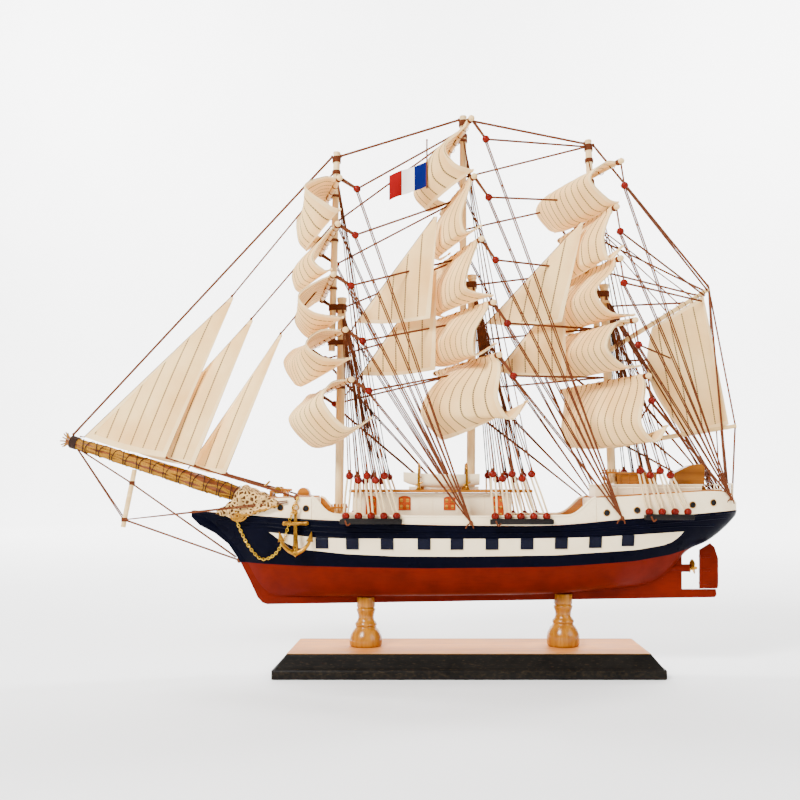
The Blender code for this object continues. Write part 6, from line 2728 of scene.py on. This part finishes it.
@dataclass
class Studio:
    """The camera where the photograph was taken, the floor and the soft light."""

    eye: Point = (-22.0, -700.0, 134.5)
    lens: float = 42.0
    sensor: float = 36.0
    shift: Pair = (-0.0475, 0.11125)

    def build(self) -> None:
        """Build the camera, the floor and the lights."""
        self.build_camera()
        self.build_floor()
        self.build_lights()

    def build_camera(self) -> None:
        """Set the level camera at the height of the deck."""
        data = bpy.data.cameras.new("camera")
        data.lens = self.lens
        data.sensor_width = self.sensor
        data.shift_x, data.shift_y = self.shift
        data.clip_start = 0.01
        camera = bpy.data.objects.new("camera", data)
        camera.location = Vector(self.eye) * MM
        camera.rotation_euler = (math.pi / 2, 0.0, 0.0)
        bpy.context.scene.collection.objects.link(camera)
        bpy.context.scene.camera = camera

    def build_floor(self) -> None:
        """Lay a plain pale floor that rises into a backdrop far behind."""
        shape = bmesh.new()
        turns = spaced(0.0, math.pi / 2, 12)
        rise = [(2.6 + 0.9 * math.sin(a), 0.9 * (1.0 - math.cos(a))) for a in turns]
        profile = [(-2.5, 0.0)] + rise + [(3.5, 4.5)]
        rows = [[shape.verts.new((x, y, z)) for x in (-6.0, 6.0)] for y, z in profile]
        for low, high in zip(rows, rows[1:]):
            shape.faces.new([*low, *high[::-1]])
        mesh = bpy.data.meshes.new("floor")
        shape.to_mesh(mesh)
        shape.free()
        mesh.shade_smooth()
        pen = ShaderTree("floor_white", 0.75)
        cloud = pen.noise(pen.place(), 3.0, 2.0)
        shade = pen.mix(pen.span(cloud, 0.4, 0.6), (0.93, 0.93, 0.93), (0.915, 0.915, 0.915))
        pen.join("Base Color", shade)
        mesh.materials.append(pen.material)
        floor = bpy.data.objects.new("floor", mesh)
        bpy.context.scene.collection.objects.link(floor)

    def build_lights(self) -> None:
        """Hang one large soft light on each side and fill the shadows with an even sky."""
        world = bpy.data.worlds.new("studio")
        world.use_nodes = True
        background = world.node_tree.nodes["Background"]
        background.inputs["Color"].default_value = (1.0, 1.0, 1.0, 1.0)
        background.inputs["Strength"].default_value = 0.22
        bpy.context.scene.world = world
        for name, place, aim, size, power in (
            ("key", (-0.9, -1.2, 1.3), (-0.02, 0.0, 0.2), 0.6, 76.0),
            ("fill", (1.3, -1.0, 0.8), (0.0, 0.0, 0.18), 1.1, 18.0),
            ("back", (0.2, 1.4, 1.3), (0.0, 0.0, 0.2), 1.2, 14.0),
            ("backdrop_port", (-1.9, 1.5, 2.4), (-0.7, 3.4, 1.0), 1.6, 330.0),
            ("backdrop_starboard", (1.9, 1.5, 2.4), (0.7, 3.4, 1.0), 1.6, 330.0),
        ):
            data = bpy.data.lights.new(name, "AREA")
            data.shape = "DISK"
            data.size = size
            data.energy = power
            light = bpy.data.objects.new(name, data)
            light.location = place
            light.rotation_euler = (Vector(aim) - Vector(place)).to_track_quat("-Z", "Y").to_euler()
            bpy.context.scene.collection.objects.link(light)


def main() -> None:
    """Build the model from the plinth up, then the studio round it."""
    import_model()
    lines = HullLines()
    Plinth().build(lambda x: 48.3 + (x + 150.0) * 5.2 / 335.0)
    Hull(lines).build()
    UpperWorks(lines).build()
    DeckHouse().build()
    for side in Side:
        LifeBoat(side).build()
    DeckFittings().build()
    SternGear().build()
    for mast in MASTS.values():
        mast.build()
    sails = square_sails()
    for sail in sails:
        sail.build()
    stay_sails = [FlatSail(name, *corners[:3], rope_end=corners[3]) for name, corners in STAYSAILS.items()]
    for sail in stay_sails:
        sail.build()
    Bowsprit(random.Random(7)).build()
    BowNetting(lines, random.Random(11)).build()
    spanker = FlatSail(
        "spanker", (161.0, 0.0, 177.3), (138.5, 0.0, 255.6), (196.0, 0.0, 182.9), (177.0, 0.0, 279.5),
        belly=5.0, hollow=13.0,
    )
    Spanker().build(spanker)
    for name, sizes in RACKS.items():
        for side in Side:
            Rack(name, side, lines, *sizes, MASTS[name]).build()
    for side in Side:
        Anchor(side, lines).build()
    Braces(lines, sails).build()
    StandingRigging(stay_sails[:3]).build()
    Flag().build()
    Studio().build()


if __name__ == "__main__":
    logging.basicConfig(level=logging.INFO, format="%(name)s: %(message)s")
    main()
